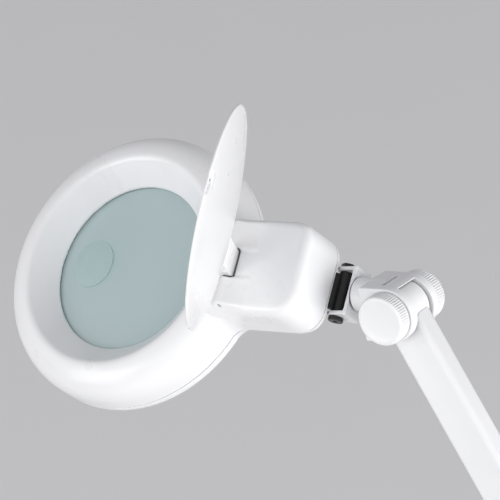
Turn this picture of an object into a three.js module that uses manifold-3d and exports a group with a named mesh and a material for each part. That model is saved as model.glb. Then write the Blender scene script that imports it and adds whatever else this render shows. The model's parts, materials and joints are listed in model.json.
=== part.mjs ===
// A ring-lit magnifying lamp on a two-part arm, clamped to a table edge.
// Millimetres, +Z up. The origin is on the table top, under the post that the whole arm swivels on.
// +X runs from the clamp away from the worker, and +Y along the hinge pins of the arm.
import * as THREE from "three";
import { mergeVertices } from "three/addons/utils/BufferGeometryUtils.js";
import Module from "manifold-3d";

// ---- Driving dimensions ----
const GAP = 0.3; // between neighbouring pieces
const WALL = 2.4; // moulded shells

// Head: its own frame has the origin at the middle of the visible lens, x to the neck, z out of the lens
const LENS_R = 63.5;
const LENS_EDGE = 3.5;
const LENS_SAG = 5.8;
const LENS_TOP = -2 - GAP; // height of its upper edge
const LENS_UNDER = LENS_TOP - LENS_EDGE;
const LENS_SEAT = LENS_R + 4; // inner wall around the lens and its gasket
const GASKET_LIP = 1.2;
const RETAINER_THICK = 2;
const APERTURE_R = 62;
const FUNNEL_R = 76.6;
const FUNNEL_TOP = 14.9;
const RIM_R = 82;
const RIM_TOP = 16.2;
const HEAD_R = 100.8;
const SIDE_TOP = -8;
const SIDE_FOOT = -20;
const FOOT_ROUND = 8;
const HEAD_BOTTOM = -28;
const SHOULDER_PULL = 12; // height that the rounded shoulder is drawn towards
const WINDOW_R = 88;
const PARTING = -18;
const NECK_START = 86;
const NECK_END = 163;
const NECK_HALF = 37;
const NECK_TOP = 20;
const NECK_BOTTOM = -25;
const NECK_ROUND = 7;
const NECK_CORNER = 20; // seen from above
const NECK_FLOOR = NECK_BOTTOM + WALL + GAP; // where things fixed inside the neck stand
const INSET_R = 18;
const INSET_X = -31;
const SHELL_SCREWS = [115, 180, 245]; // degrees round the ring, away from the neck
const SHELL_SCREW_RING = 94.6;
const SHELL_BOSS_R = 4;
const SCREW_SHANK_R = 1.1;
const SCREW_CAP_R = 2.5;
const NECK_SCREW_X = 147;
const NECK_CAP_R = 3;
const TRAY_Z = -15; // top of the shelf above the light board
const TRAY_INNER = 64.5;
const TRAY_STEM = 66.5;
const SHELF_THICK = 1.5;
const BOARD_INNER = 67.5;
const BOARD_THICK = 1.6;
const WINDOW_INNER = 66.9;
const WINDOW_THICK = 2;
const LED_SIZE = [3.5, 2.8, 1.2];
const DRIVER_LOW = [112, -22, -11];
const DRIVER_HIGH = [150, 22, 4];
const LED_COUNT = 20;
const LED_RING = 78.5;
const BUTTON_X = 128;
const BUTTON_TRAVEL = 1.5;
const BUTTON_HALF = [9.6, 5.6];
const BUTTON_TALL = 7;
const SWITCH_HALF = [10, 7];
const SWITCH_TALL = 5;

// Dust cover and its hinge on the neck
const COVER_R = 77.3;
const COVER_RISE = 6;
const COVER_EDGE = 2;
const COVER_LOW = RIM_TOP + 1; // height of its edge when closed
const COVER_WALL = 2;
const KNUCKLE_R = 4;
const KNUCKLE_HALF = 10;
const KNUCKLE_REACH = 28; // from the hinge pin into the cover's rim
const SCOOP_R = 9; // the half-round finger scoop in the cover's free edge
const SCOOP_OUT = 1.5; // from the cover's edge out to the scoop's middle
const SCOOP_FLOOR = 1.2; // wall left under the scoop
const HINGE_X = 102;
const HINGE_Z = 20;
const HINGE_R = 4.4;
const HINGE_PIN_R = 1.5;
const LUG_INNER = 10.7;
const LUG_OUTER = 31;
const LUG_RAMP = 19; // from the pin back to where the lug meets the neck
const NOTCH_BEHIND = 6; // how far the knuckle's notch in the neck reaches behind the pin
const NOTCH_FLOOR = HINGE_Z - KNUCKLE_R - 0.6;
const COVER_OPEN = 119; // degrees from closed to where it stands

// Nod pivot below the neck's end, roll axis behind it, tilt axle behind that
const NOD_X = 165;
const NOD_Z = -30;
const BAR_R = 5;
const BAR_HALF = 14.6;
const PIVOT_HALF = 13; // half width of the plate and web behind the bar
const PIVOT_PLATE = [139, 155];
const PIVOT_THICK = 5;
const PIVOT_WEB = 22;
const PIVOT_SLOPE = 38; // degrees
const NOD_BOLT_R = 2.5;
const CHEEK_INNER = 15;
const CHEEK_OUTER = 17.8;
const CHEEK_END_R = 7;
const CHEEK_HALF = 9;
const WEB_BACK = 13; // rear face of the yoke, behind the nod bolt
const YOKE_THICK = 2.8;
const YOKE_FLOOR = 2.5;
const YOKE_FLOOR_START = 2;
const BOLT_HEAD_R = 5.5;
const BOLT_HEAD_TALL = 3;
const ROLL_HEAD_R = 6;
const ROLL_HEAD_TALL = 2.2;
const ROLL_WASHER_R = 11;
const ROLL_NUT_R = 6.4;
const ROLL_NUT_TALL = 3.4;
const ROLL_NUT_AT = 15.2; // from the yoke's rear face to the nut's middle
const TILT_BEHIND = 48;
const TILT_BELOW = 7.5;
const HEAD_PITCH = 11.4;
const HEAD_ROLL = 48.8;
const PLATE_EDGE = 7; // where the head block's flat top ends over the barrel
const BOSS_GAP = 1.3; // from the yoke's rear face to the block's round boss
const BOSS_TALL = 16;
const BLOCK_LENGTH = 21.8; // from the axle back to its flat foot
const SLIT = { start: -7, width: 2.2, half: 9.5, floor: 10 };
const NUT_POCKET_R = 7;
const NUT_POCKET_TALL = 8;

// Arm joints: a barrel between the two ears of a fork, on an axle with a knob at each end
const BARREL_R = 17;
const BARREL_HALF = 9.4;
const EAR_R = 19.5;
const EAR_INNER = 10.7;
const EAR_OUTER = 17.8;
const SLOT_R = 17.6;
const AXLE_R = 4;
const AXLE_HALF = 25;
const KNOB_R = 17.9;
const KNOB_GRIP = 0.5;
const KNOB_LENGTH = 10.9;
const KNOB_RIDGES = 18;
const WASHER_R = 14;
const WASHER_THICK = 0.9;
const SLOT_BACK = 8; // how far the fork's slot reaches behind the axle at the middle

// Arm tubes
const ARM = 360; // pivot to pivot
const TUBE_TALL = 31;
const TUBE_WIDE = 17.5;
const TUBE_WALL = 1.6;
const TUBE_CORNER = 4;
const UPPER_DROP = 53.7; // degrees below level, from the head joint down to the elbow
const LOWER_LEAN = 30; // degrees from upright
const SPIGOT_START = 8;
const SPIGOT_END = 40;
const CABLE_R = 2.6;
const CABLE_DROP = 9; // below the tube's middle
const CABLE_CLEAR = 3; // from each spigot
const ELBOW_FORK = 28; // from the elbow's axle to the foot of its fork
const ELBOW_STEM = 20; // below that foot

// Clamp
const POST_R = 6;
const BOSS_R = 13;
const BOSS_TOP = 40;
const JAW_LINER = 1.9;
const JAW_TOP = 10;
const JAW_HALF = 24;
const JAW_FRONT = -48;
const SPINE_IN = 18;
const SPINE_OUT = 26;
const LOWER_JAW = -84;
const SCREW_X = -24;
const SCREW_R = 5;
const TABLE = 25; // thickness gripped as shown
const BASE_FORK = 38; // from its axle down to its foot
const BASE_LIFT = 2; // from the boss up to that foot
const POST_SOCKET = 12; // depth of the post's hole in the fork
const POST_END = 14.6; // height of the post's lower end
const BUSH_R = 8;
const BUSH_FLANGE_R = 11.5;
const BUSH_FLANGE = 1.5;
const INLET_DROP = 24; // below the base's axle
const INLET_R = 3.9;
const INLET_DEEP = 7.7;
const INLET_HOLE_R = 2.6;
const NUT_R = 11;
const NUT_LOW = LOWER_JAW - 6;
const NUT_HIGH = LOWER_JAW + 12;
const FOOT_R = 17;
const PAD_THICK = 2;
const JAW_STEP = 8; // thickness of the lower jaw
const SCREW_LENGTH = 96;
const SCREW_HEAD_R = 8;
const SCREW_HEAD_TALL = 14;
const BAR_LENGTH = 72;
const CROSS_BAR_R = 2.9;
const BAR_END_R = 4.2;
const BAR_END_LONG = 4;
const BAR_DROP = SCREW_LENGTH + 9; // from the foot's top to the cross bar

// Roundness, in sides per full turn
const LARGE = 36;
const MEDIUM = 24;
const SMALL = 16;
const CORNER = 2; // per quarter of a rounded corner

const wasm = await Module();
wasm.setup();

const degrees = THREE.MathUtils.degToRad;

// ---- Solids ----
// A closed three.js geometry as a solid whose faces point out.
function solid(geometry) {
  const bare = geometry.clone();
  bare.deleteAttribute("normal");
  bare.deleteAttribute("uv");
  const merged = mergeVertices(bare);
  const position = merged.getAttribute("position");
  const corner = (i) => new THREE.Vector3().fromBufferAttribute(position, i);
  const triangles = [];
  let volume = 0;
  for (let i = 0; i < merged.index.count; i += 3) {
    const [a, b, c] = [0, 1, 2].map((step) => merged.index.getX(i + step));
    if (a === b || b === c || c === a) continue;
    triangles.push(a, b, c);
    volume += corner(a).dot(corner(b).cross(corner(c)));
  }
  if (volume < 0) triangles.reverse();
  const mesh = { numProp: 3, vertProperties: position.array, triVerts: new Uint32Array(triangles) };
  return new wasm.Manifold(new wasm.Mesh(mesh));
}

function joined(...solids) {
  return solids.reduce((whole, next) => whole.add(next));
}

function cut(whole, ...tools) {
  return tools.reduce((left, tool) => left.subtract(tool), whole);
}

// A solid turned about Z from [radius, z] points, or from a path drawn in those two directions.
function turned(profile, sides = LARGE) {
  const points = profile instanceof THREE.Path ? profile.getPoints(CORNER) : profile;
  const outline = points.map((p) => (p.isVector2 ? p : new THREE.Vector2(...p)));
  const closed = [outline[0], outline.at(-1)].every((p) => p.x === 0);
  if (!closed) outline.push(outline[0].clone());
  return solid(new THREE.LatheGeometry(outline, sides).rotateX(Math.PI / 2));
}

function ring(inner, outer, low, high, sides = LARGE) {
  return turned([[inner, low], [outer, low], [outer, high], [inner, high]], sides);
}

// Round bars centred on a point, along one of the three axes
function barAlongY(radius, length, x = 0, y = 0, z = 0, sides = SMALL) {
  return solid(new THREE.CylinderGeometry(radius, radius, length, sides).translate(x, y, z));
}

function barAlongX(radius, length, x = 0, y = 0, z = 0, sides = SMALL) {
  const bar = new THREE.CylinderGeometry(radius, radius, length, sides);
  return solid(bar.rotateZ(Math.PI / 2).translate(x, y, z));
}

function barAlongZ(radius, length, x = 0, y = 0, z = 0, sides = SMALL) {
  const bar = new THREE.CylinderGeometry(radius, radius, length, sides);
  return solid(bar.rotateX(Math.PI / 2).translate(x, y, z));
}

// A box between two corners
function block(low, high) {
  const size = high.map((value, i) => value - low[i]);
  const middle = high.map((value, i) => (value + low[i]) / 2);
  return solid(new THREE.BoxGeometry(...size).translate(...middle));
}

function roundedOutline(width, height, radius) {
  const [w, h] = [width / 2 - radius, height / 2 - radius];
  const shape = new THREE.Shape();
  shape.absarc(w, h, radius, 0, Math.PI / 2);
  shape.absarc(-w, h, radius, Math.PI / 2, Math.PI);
  shape.absarc(-w, -h, radius, Math.PI, 1.5 * Math.PI);
  shape.absarc(w, -h, radius, 1.5 * Math.PI, 2 * Math.PI);
  return shape;
}

// An outline drawn in X and Z, given a thickness from y low to y high
function plate(shape, low, high, sides = CORNER) {
  const options = { depth: high - low, bevelEnabled: false, curveSegments: sides };
  const flat = new THREE.ExtrudeGeometry(shape, options);
  return solid(flat.rotateX(Math.PI / 2).translate(0, high, 0));
}

// An outline drawn in Y and Z (the shape's x and y), pushed along X from start to end
function beam(shape, start, end, rounding = 0) {
  const options = {
    depth: end - start - 2 * rounding,
    curveSegments: CORNER,
    bevelEnabled: rounding > 0,
    bevelThickness: rounding,
    bevelSize: rounding,
    bevelOffset: -rounding,
    bevelSegments: CORNER,
  };
  const pushed = new THREE.ExtrudeGeometry(shape, options).rotateX(Math.PI / 2).rotateZ(Math.PI / 2);
  return solid(pushed.translate(start + rounding, 0, 0));
}

// ---- Finishes ----
const finish = {
  whitePlastic: () => new THREE.MeshStandardMaterial({ color: 0xf2f3f4, roughness: 0.22 }),
  innerPlastic: () => new THREE.MeshStandardMaterial({ color: 0xdfe1e2, roughness: 0.5 }),
  blackPlastic: () => new THREE.MeshStandardMaterial({ color: 0x101012, roughness: 0.45 }),
  whitePaint: () => new THREE.MeshStandardMaterial({ color: 0xf0f1f2, roughness: 0.3, metalness: 0.1 }),
  steel: () => new THREE.MeshStandardMaterial({ color: 0xb9bcc0, roughness: 0.3, metalness: 1 }),
  blackSteel: () => new THREE.MeshStandardMaterial({ color: 0x17171a, roughness: 0.35, metalness: 0.8 }),
  rubber: () => new THREE.MeshStandardMaterial({ color: 0x1b1b1d, roughness: 0.85 }),
  board: () => new THREE.MeshStandardMaterial({ color: 0xe9eeea, roughness: 0.6 }),
  fibre: () => new THREE.MeshStandardMaterial({ color: 0x2b2a28, roughness: 0.9 }),
  frosted: () => new THREE.MeshStandardMaterial({ color: 0xf4f6f4, roughness: 0.7 }),
  glass: () => {
    const look = { color: 0xcfe3e1, roughness: 0.03, transparent: true, opacity: 0.35 };
    return new THREE.MeshStandardMaterial(look);
  },
};

// Adds a solid to a group as a named mesh.
function piece(group, name, shape, material) {
  const mesh = shape.getMesh();
  const geometry = new THREE.BufferGeometry();
  geometry.setAttribute("position", new THREE.BufferAttribute(mesh.vertProperties, mesh.numProp));
  geometry.setIndex(new THREE.BufferAttribute(mesh.triVerts, 1));
  geometry.computeVertexNormals();
  const made = new THREE.Mesh(geometry, material());
  made.name = name;
  group.add(made);
}

function groupAt(parent, x, y, z) {
  const group = new THREE.Group();
  group.position.set(x, y, z);
  parent.add(group);
  return group;
}

// ---- Head ----
// The ring's outer skin and its hollow, drawn as radius and height, and the neck around the same parting plane.
function ringSkin() {
  const path = new THREE.Path();
  path.moveTo(APERTURE_R, -2);
  path.lineTo(APERTURE_R, 0);
  path.lineTo(FUNNEL_R, FUNNEL_TOP);
  path.quadraticCurveTo(FUNNEL_R + 2, FUNNEL_TOP + 2, RIM_R, RIM_TOP);
  path.quadraticCurveTo(HEAD_R, SHOULDER_PULL, HEAD_R, SIDE_TOP);
  path.lineTo(HEAD_R, SIDE_FOOT);
  path.quadraticCurveTo(HEAD_R, HEAD_BOTTOM, HEAD_R - FOOT_ROUND, HEAD_BOTTOM);
  path.lineTo(APERTURE_R, HEAD_BOTTOM);
  return turned(path);
}

function ringHollow() {
  const inside = HEAD_R - WALL;
  const path = new THREE.Path();
  path.moveTo(APERTURE_R - 1, HEAD_BOTTOM - 5);
  path.lineTo(WINDOW_R, HEAD_BOTTOM - 5);
  path.lineTo(WINDOW_R, HEAD_BOTTOM + WALL);
  path.lineTo(inside - FOOT_ROUND + 2, HEAD_BOTTOM + WALL);
  path.quadraticCurveTo(inside, HEAD_BOTTOM + WALL, inside, SIDE_FOOT);
  path.lineTo(inside, SIDE_TOP);
  path.quadraticCurveTo(inside, SHOULDER_PULL - WALL, RIM_R, RIM_TOP - WALL);
  path.lineTo(FUNNEL_R + 2, FUNNEL_TOP - 1.5);
  path.lineTo(LENS_SEAT, LENS_SEAT - APERTURE_R - WALL);
  path.lineTo(LENS_SEAT, -2);
  path.lineTo(APERTURE_R - 1, -2);
  return turned(path);
}

function neckSolid(inset) {
  const tall = NECK_TOP - NECK_BOTTOM - 2 * inset;
  const outline = roundedOutline(2 * (NECK_HALF - inset), tall, NECK_ROUND + 2 - inset);
  const middle = (NECK_TOP + NECK_BOTTOM) / 2;
  const neck = beam(outline, NECK_START, NECK_END - inset, NECK_ROUND - 1 - inset);
  const [end, side, corner] = [NECK_END - inset, NECK_HALF - inset, NECK_CORNER - inset];
  const plan = new THREE.Shape();
  plan.moveTo(NECK_START, -side);
  plan.lineTo(end - corner, -side);
  plan.absarc(end - corner, corner - side, corner, -0.5 * Math.PI, 0);
  plan.absarc(end - corner, side - corner, corner, 0, 0.5 * Math.PI);
  plan.lineTo(NECK_START, side);
  const options = { depth: 100, bevelEnabled: false, curveSegments: 4 };
  const column = solid(new THREE.ExtrudeGeometry(plan, options).translate(0, 0, -50));
  return neck.translate([0, 0, middle]).intersect(column);
}

function aroundRing(angle, radius) {
  return [radius * Math.cos(degrees(angle)), radius * Math.sin(degrees(angle))];
}

// The two lugs that carry the cover's hinge pin, each with a ramp down to the neck behind it
function hingeLugs() {
  const shape = new THREE.Shape();
  shape.moveTo(HINGE_X + LUG_RAMP, NECK_TOP - 1);
  shape.lineTo(HINGE_X - HINGE_R, NECK_TOP - 3);
  shape.absarc(HINGE_X, HINGE_Z, HINGE_R, Math.PI, 0.25 * Math.PI, true);
  return joined(plate(shape, LUG_INNER, LUG_OUTER, 6), plate(shape, -LUG_OUTER, -LUG_INNER, 6));
}

// Both shells before they are parted
function wholeShell() {
  const skin = joined(ringSkin(), neckSolid(0), hingeLugs());
  const hollow = joined(ringHollow(), neckSolid(WALL));
  const hingeHole = barAlongY(HINGE_PIN_R + 0.1, 2 * LUG_OUTER + 0.4, HINGE_X, 0, HINGE_Z, 12);
  const coverNotch = block([NECK_START, -LUG_INNER, NOTCH_FLOOR], [HINGE_X + NOTCH_BEHIND, LUG_INNER, 40]);
  const aroundNotch = block(
    [NECK_START, -LUG_INNER - WALL, NOTCH_FLOOR - WALL],
    [HINGE_X + NOTCH_BEHIND + WALL, LUG_INNER + WALL, NECK_TOP],
  ).intersect(skin);
  const barNotch = block([NOD_X - 14, -BAR_HALF - GAP, NOD_Z - 8], [NOD_X, BAR_HALF + GAP, NOD_Z + 10]);
  return cut(joined(cut(skin, hollow), aroundNotch), hingeHole, coverNotch, barNotch);
}

function keepBetween(shape, low, high) {
  return shape.intersect(block([-120, -120, low], [200, 120, high]));
}

function buildHead(head) {
  const shell = wholeShell();
  const atScrews = (radius, length, middle) =>
    SHELL_SCREWS.map((angle) => barAlongZ(radius, length, ...aroundRing(angle, SHELL_SCREW_RING), middle, 10));
  const bosses = joined(...atScrews(SHELL_BOSS_R, 60, 0)).intersect(ringSkin());
  const top = joined(keepBetween(shell, PARTING, 60), keepBetween(bosses, PARTING, PARTING + 24));
  const lowBosses = keepBetween(bosses, HEAD_BOTTOM, PARTING - GAP);
  const bottom = joined(keepBetween(shell, -60, PARTING - GAP), lowBosses);
  const buttonHole = block([BUTTON_X - 10, -6, NECK_BOTTOM - 2], [BUTTON_X + 10, 6, NECK_BOTTOM + WALL + 1]);
  const neckScrewHole = barAlongZ(1.8, 8, NECK_SCREW_X, 0, NECK_BOTTOM, 12);
  piece(head, "head_top_shell", cut(top, ...atScrews(1.3, 14, PARTING + 5)), finish.whitePlastic);
  const screwHoles = [...atScrews(1.5, 30, PARTING - 14), ...atScrews(2.8, 8, HEAD_BOTTOM + 1)];
  const openBottom = cut(bottom, buttonHole, neckScrewHole, ...screwHoles);
  piece(head, "head_bottom_shell", openBottom, finish.whitePlastic);
  const capMiddle = HEAD_BOTTOM + 3.9;
  const shankTop = PARTING + 9;
  const shanks = atScrews(SCREW_SHANK_R, shankTop - capMiddle, (shankTop + capMiddle) / 2);
  atScrews(SCREW_CAP_R, 2, capMiddle).forEach((cap, i) => {
    piece(head, `shell_screw_${i + 1}`, joined(shanks[i], cap), finish.steel);
  });

  piece(head, "magnifier_lens", lensSolid(0), finish.glass);
  piece(head, "inset_lens", insetLens(), finish.glass);
  const gasket = [
    [LENS_R + GAP, -2 - GAP],
    [LENS_R + 3.4, -2 - GAP],
    [LENS_R + 3.4, LENS_UNDER - GASKET_LIP],
    [LENS_R - 1.5, LENS_UNDER - GASKET_LIP],
    [LENS_R - 1.5, LENS_UNDER - GAP],
    [LENS_R + GAP, LENS_UNDER - GAP],
  ];
  piece(head, "lens_gasket", turned(gasket), finish.rubber);
  const retainerTop = LENS_UNDER - GASKET_LIP - GAP;
  const retainer = ring(APERTURE_R - 1, LENS_SEAT - 0.5, retainerTop - RETAINER_THICK, retainerTop);
  piece(head, "lens_retainer", retainer, finish.innerPlastic);

  const trayTop = retainerTop - RETAINER_THICK - GAP;
  const tray = [
    [TRAY_INNER, HEAD_BOTTOM + 2],
    [TRAY_STEM, HEAD_BOTTOM + 2],
    [TRAY_STEM, TRAY_Z - SHELF_THICK],
    [WINDOW_R + 2, TRAY_Z - SHELF_THICK],
    [WINDOW_R + 2, TRAY_Z],
    [TRAY_STEM, TRAY_Z],
    [TRAY_STEM, trayTop],
    [TRAY_INNER, trayTop],
  ];
  piece(head, "led_tray", turned(tray), finish.innerPlastic);
  piece(head, "led_board", ledBoard(), finish.board);
  const windowLow = HEAD_BOTTOM + WALL + GAP;
  const window = ring(WINDOW_INNER, WINDOW_R + 2.2, windowLow, windowLow + WINDOW_THICK);
  piece(head, "light_window", window, finish.frosted);
  piece(head, "led_driver", block(DRIVER_LOW, DRIVER_HIGH), finish.blackPlastic);
  piece(head, "cover_hinge_pin", barAlongY(HINGE_PIN_R, 2 * LUG_OUTER, HINGE_X, 0, HINGE_Z, 12), finish.steel);
  buildSwitch(head);
  buildPivotBlock(head);
}

// The main lens, or the same lens grown by a clearance
function lensSolid(extra) {
  const sphere = (LENS_R ** 2 + LENS_SAG ** 2) / (2 * LENS_SAG);
  const bulge = (r) => LENS_SAG - sphere + Math.sqrt(sphere ** 2 - r ** 2);
  const radii = [0, 22, 43, LENS_R];
  const lower = radii.map((r) => [r, LENS_UNDER - bulge(r) - extra]);
  const upper = radii.toReversed().map((r) => [r, LENS_TOP + bulge(r) + extra]);
  return turned([...lower, ...upper]);
}

// The small strong lens bonded on top of the main one, towards the ring's free end
function insetLens() {
  const dome = [[0, -6], [INSET_R, -6], [INSET_R, 0.7], [INSET_R * 0.6, 1.7], [0, 2.3]];
  const tilt = Math.asin((INSET_X * 2 * LENS_SAG) / (LENS_R ** 2 + LENS_SAG ** 2));
  const height = LENS_TOP + LENS_SAG * (1 - (INSET_X / LENS_R) ** 2);
  const upright = turned(dome, 32).rotate([0, THREE.MathUtils.radToDeg(tilt), 0]);
  return cut(upright.translate([INSET_X, 0, height]), lensSolid(0.06));
}

function ledBoard() {
  const under = TRAY_Z - SHELF_THICK - GAP;
  const board = ring(BOARD_INNER, WINDOW_R + 1.5, under - BOARD_THICK, under);
  const leds = Array.from({ length: LED_COUNT }, (_, i) => {
    const box = new THREE.BoxGeometry(...LED_SIZE).translate(LED_RING, 0, under - 2);
    return solid(box.rotateZ((i * 2 * Math.PI) / LED_COUNT));
  });
  return joined(board, ...leds);
}

function buildSwitch(head) {
  const low = NECK_BOTTOM - BUTTON_TRAVEL;
  const upright = ([long, wide], start, end) =>
    block([BUTTON_X - long, -wide, start], [BUTTON_X + long, wide, end]);
  piece(head, "power_button", upright(BUTTON_HALF, low, low + BUTTON_TALL), finish.innerPlastic);
  const bodyLow = low + BUTTON_TALL + BUTTON_TRAVEL + GAP;
  piece(head, "switch_body", upright(SWITCH_HALF, bodyLow, bodyLow + SWITCH_TALL), finish.blackPlastic);
}

// The black pivot: a plate inside the neck, a web out through its lower corner, and the barrel on the bolt
function buildPivotBlock(head) {
  const barrel = barAlongY(BAR_R, 2 * BAR_HALF, NOD_X, 0, NOD_Z, 24);
  const [front, back] = PIVOT_PLATE;
  const foot = block([front, -PIVOT_HALF, NECK_FLOOR], [back, PIVOT_HALF, NECK_FLOOR + PIVOT_THICK]);
  const web = block([-PIVOT_WEB, -PIVOT_HALF, -PIVOT_THICK / 2], [0, PIVOT_HALF, PIVOT_THICK / 2]);
  const placedWeb = web.rotate([0, PIVOT_SLOPE, 0]).translate([NOD_X, 0, NOD_Z]);
  const joinedBlock = joined(barrel, foot, placedWeb);
  const bore = barAlongY(NOD_BOLT_R + 0.1, 60, NOD_X, 0, NOD_Z, 16);
  const screwHole = barAlongZ(SCREW_SHANK_R + 0.1, 12, NECK_SCREW_X, 0, NECK_FLOOR + 2, 8);
  piece(head, "pivot_block", cut(joinedBlock, bore, screwHole), finish.blackPlastic);
  const shank = barAlongZ(SCREW_SHANK_R, 7, NECK_SCREW_X, 0, NECK_BOTTOM + 3.4, 8);
  const cap = barAlongZ(NECK_CAP_R, 1.4, NECK_SCREW_X, 0, NECK_BOTTOM - 0.8, 12);
  piece(head, "neck_screw", joined(shank, cap), finish.steel);
}

// The dust cover, drawn closed over the funnel in a frame on its hinge and turned open
function buildCover(cover) {
  const low = COVER_LOW - HINGE_Z;
  const crown = low + COVER_EDGE + COVER_RISE;
  const path = new THREE.Path();
  path.moveTo(0, crown);
  path.quadraticCurveTo(COVER_R * 0.6, crown, COVER_R - 1, low + COVER_EDGE);
  path.lineTo(COVER_R, low + 1);
  path.lineTo(COVER_R - 1, low);
  path.lineTo(COVER_R - 3, low);
  path.quadraticCurveTo(COVER_R * 0.6, crown - COVER_WALL, 0, crown - COVER_WALL);
  const dome = turned(path).translate([-HINGE_X, 0, 0]);
  const knuckle = new THREE.Shape();
  knuckle.moveTo(-KNUCKLE_REACH, low + 0.5);
  knuckle.lineTo(0, -KNUCKLE_R);
  knuckle.absarc(0, 0, KNUCKLE_R, -0.5 * Math.PI, 0.5 * Math.PI);
  knuckle.lineTo(-KNUCKLE_REACH, low + 3.2);
  const bore = barAlongY(HINGE_PIN_R + 0.1, 40, 0, 0, 0, 12);
  const scoop = barAlongZ(SCOOP_R, 20, -HINGE_X - COVER_R - SCOOP_OUT, 0, low + SCOOP_FLOOR + 10, MEDIUM);
  const body = joined(dome, plate(knuckle, -KNUCKLE_HALF, KNUCKLE_HALF, 6));
  piece(cover, "dust_cover", cut(body, bore, scoop), finish.whitePlastic);
}

// ---- Yoke between the nod bolt and the roll axis, drawn about the bolt ----
function buildYoke(yoke) {
  const shape = new THREE.Shape();
  shape.absarc(0, 0, CHEEK_END_R, 0.5 * Math.PI, 1.5 * Math.PI);
  shape.lineTo(WEB_BACK, -CHEEK_HALF);
  shape.lineTo(WEB_BACK, CHEEK_HALF);
  const cheeks = [plate(shape, CHEEK_INNER, CHEEK_OUTER, 8), plate(shape, -CHEEK_OUTER, -CHEEK_INNER, 8)];
  const [front, side, down] = [WEB_BACK - YOKE_THICK, CHEEK_OUTER, -CHEEK_HALF];
  const web = block([front, -side, down], [WEB_BACK, side, CHEEK_HALF]);
  const floor = block([YOKE_FLOOR_START, -side, down], [WEB_BACK, side, down + YOKE_FLOOR]);
  const boltBore = barAlongY(NOD_BOLT_R + 0.1, 60, 0, 0, 0, 16);
  const rollBore = barAlongX(AXLE_R + 0.1, 12, WEB_BACK - 2);
  piece(yoke, "yoke", cut(joined(...cheeks, web, floor), boltBore, rollBore), finish.whitePaint);

  const shank = barAlongY(NOD_BOLT_R, 2 * CHEEK_OUTER + 7, 0, 0.5);
  const headMiddle = CHEEK_OUTER + 0.2 + BOLT_HEAD_TALL / 2;
  const head = barAlongY(BOLT_HEAD_R, BOLT_HEAD_TALL, 0, -headMiddle);
  piece(yoke, "nod_bolt", joined(shank, head), finish.blackSteel);
  const nut = barAlongY(BOLT_HEAD_R, BOLT_HEAD_TALL, 0, headMiddle, 0, 6);
  const nutBore = barAlongY(NOD_BOLT_R + 0.1, 5, 0, CHEEK_OUTER + 2);
  piece(yoke, "nod_nut", cut(nut, nutBore), finish.blackSteel);

  const rollHead = barAlongX(ROLL_HEAD_R, ROLL_HEAD_TALL, front - 0.2 - ROLL_HEAD_TALL / 2);
  const shankEnd = WEB_BACK + ROLL_NUT_AT + ROLL_NUT_TALL / 2 - 0.2;
  const rollShank = barAlongX(AXLE_R, shankEnd - front + 1, (shankEnd + front - 1) / 2);
  piece(yoke, "roll_bolt", joined(rollHead, rollShank), finish.steel);
  const disc = barAlongX(ROLL_WASHER_R, WASHER_THICK, WEB_BACK + 0.6, 0, 0, 24);
  const washer = cut(disc, barAlongX(AXLE_R + 0.2, 3, WEB_BACK));
  piece(yoke, "roll_washer", washer, finish.fibre);
  const nutBlank = barAlongX(ROLL_NUT_R, ROLL_NUT_TALL, WEB_BACK + ROLL_NUT_AT, 0, 0, 6);
  const nutHole = barAlongX(AXLE_R + 0.1, 6, WEB_BACK + ROLL_NUT_AT);
  piece(yoke, "roll_nut", cut(nutBlank, nutHole), finish.steel);
}

// ---- Fork joint, drawn about its axle with the fork's foot towards -X ----
// Two ears with a solid foot behind them. The slot lets the barrel and its tube swing.
function forkSolid(length) {
  const shape = new THREE.Shape();
  shape.absarc(0, 0, EAR_R, -0.5 * Math.PI, 0.5 * Math.PI);
  shape.lineTo(-length, EAR_R);
  shape.lineTo(-length, -EAR_R);
  const body = plate(shape, -EAR_OUTER, EAR_OUTER, 10);
  const axleBore = barAlongY(AXLE_R + 0.1, 60);
  return cut(body, axleBore);
}

function barrelSlot() {
  const round = barAlongY(SLOT_R, 2 * EAR_INNER, 0, 0, 0, MEDIUM);
  const swing = block([-SLOT_BACK, -EAR_INNER, -30], [30, EAR_INNER, 30]);
  return joined(round, swing);
}

// The part of the slot that leaves the fork's corners open too, so that the tube can fold past upright
function openCorners() {
  return block([-SLOT_R, -EAR_INNER, -30], [0, EAR_INNER, 30]);
}

// The axle, its two friction washers and its two knobs
function buildAxleSet(place, name) {
  piece(place, `${name}_axle`, barAlongY(AXLE_R, 2 * AXLE_HALF), finish.steel);
  [["front", -1], ["rear", 1]].forEach(([end, side]) => {
    const middle = side * (BARREL_HALF + EAR_INNER) * 0.5;
    const washer = barAlongY(WASHER_R, WASHER_THICK, 0, middle, 0, 16);
    const bore = barAlongY(AXLE_R + 0.2, 3, 0, middle);
    piece(place, `${name}_washer_${end}`, cut(washer, bore), finish.fibre);
    piece(place, `${name}_knob_${end}`, knobSolid(side), finish.whitePlastic);
  });
}

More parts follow.
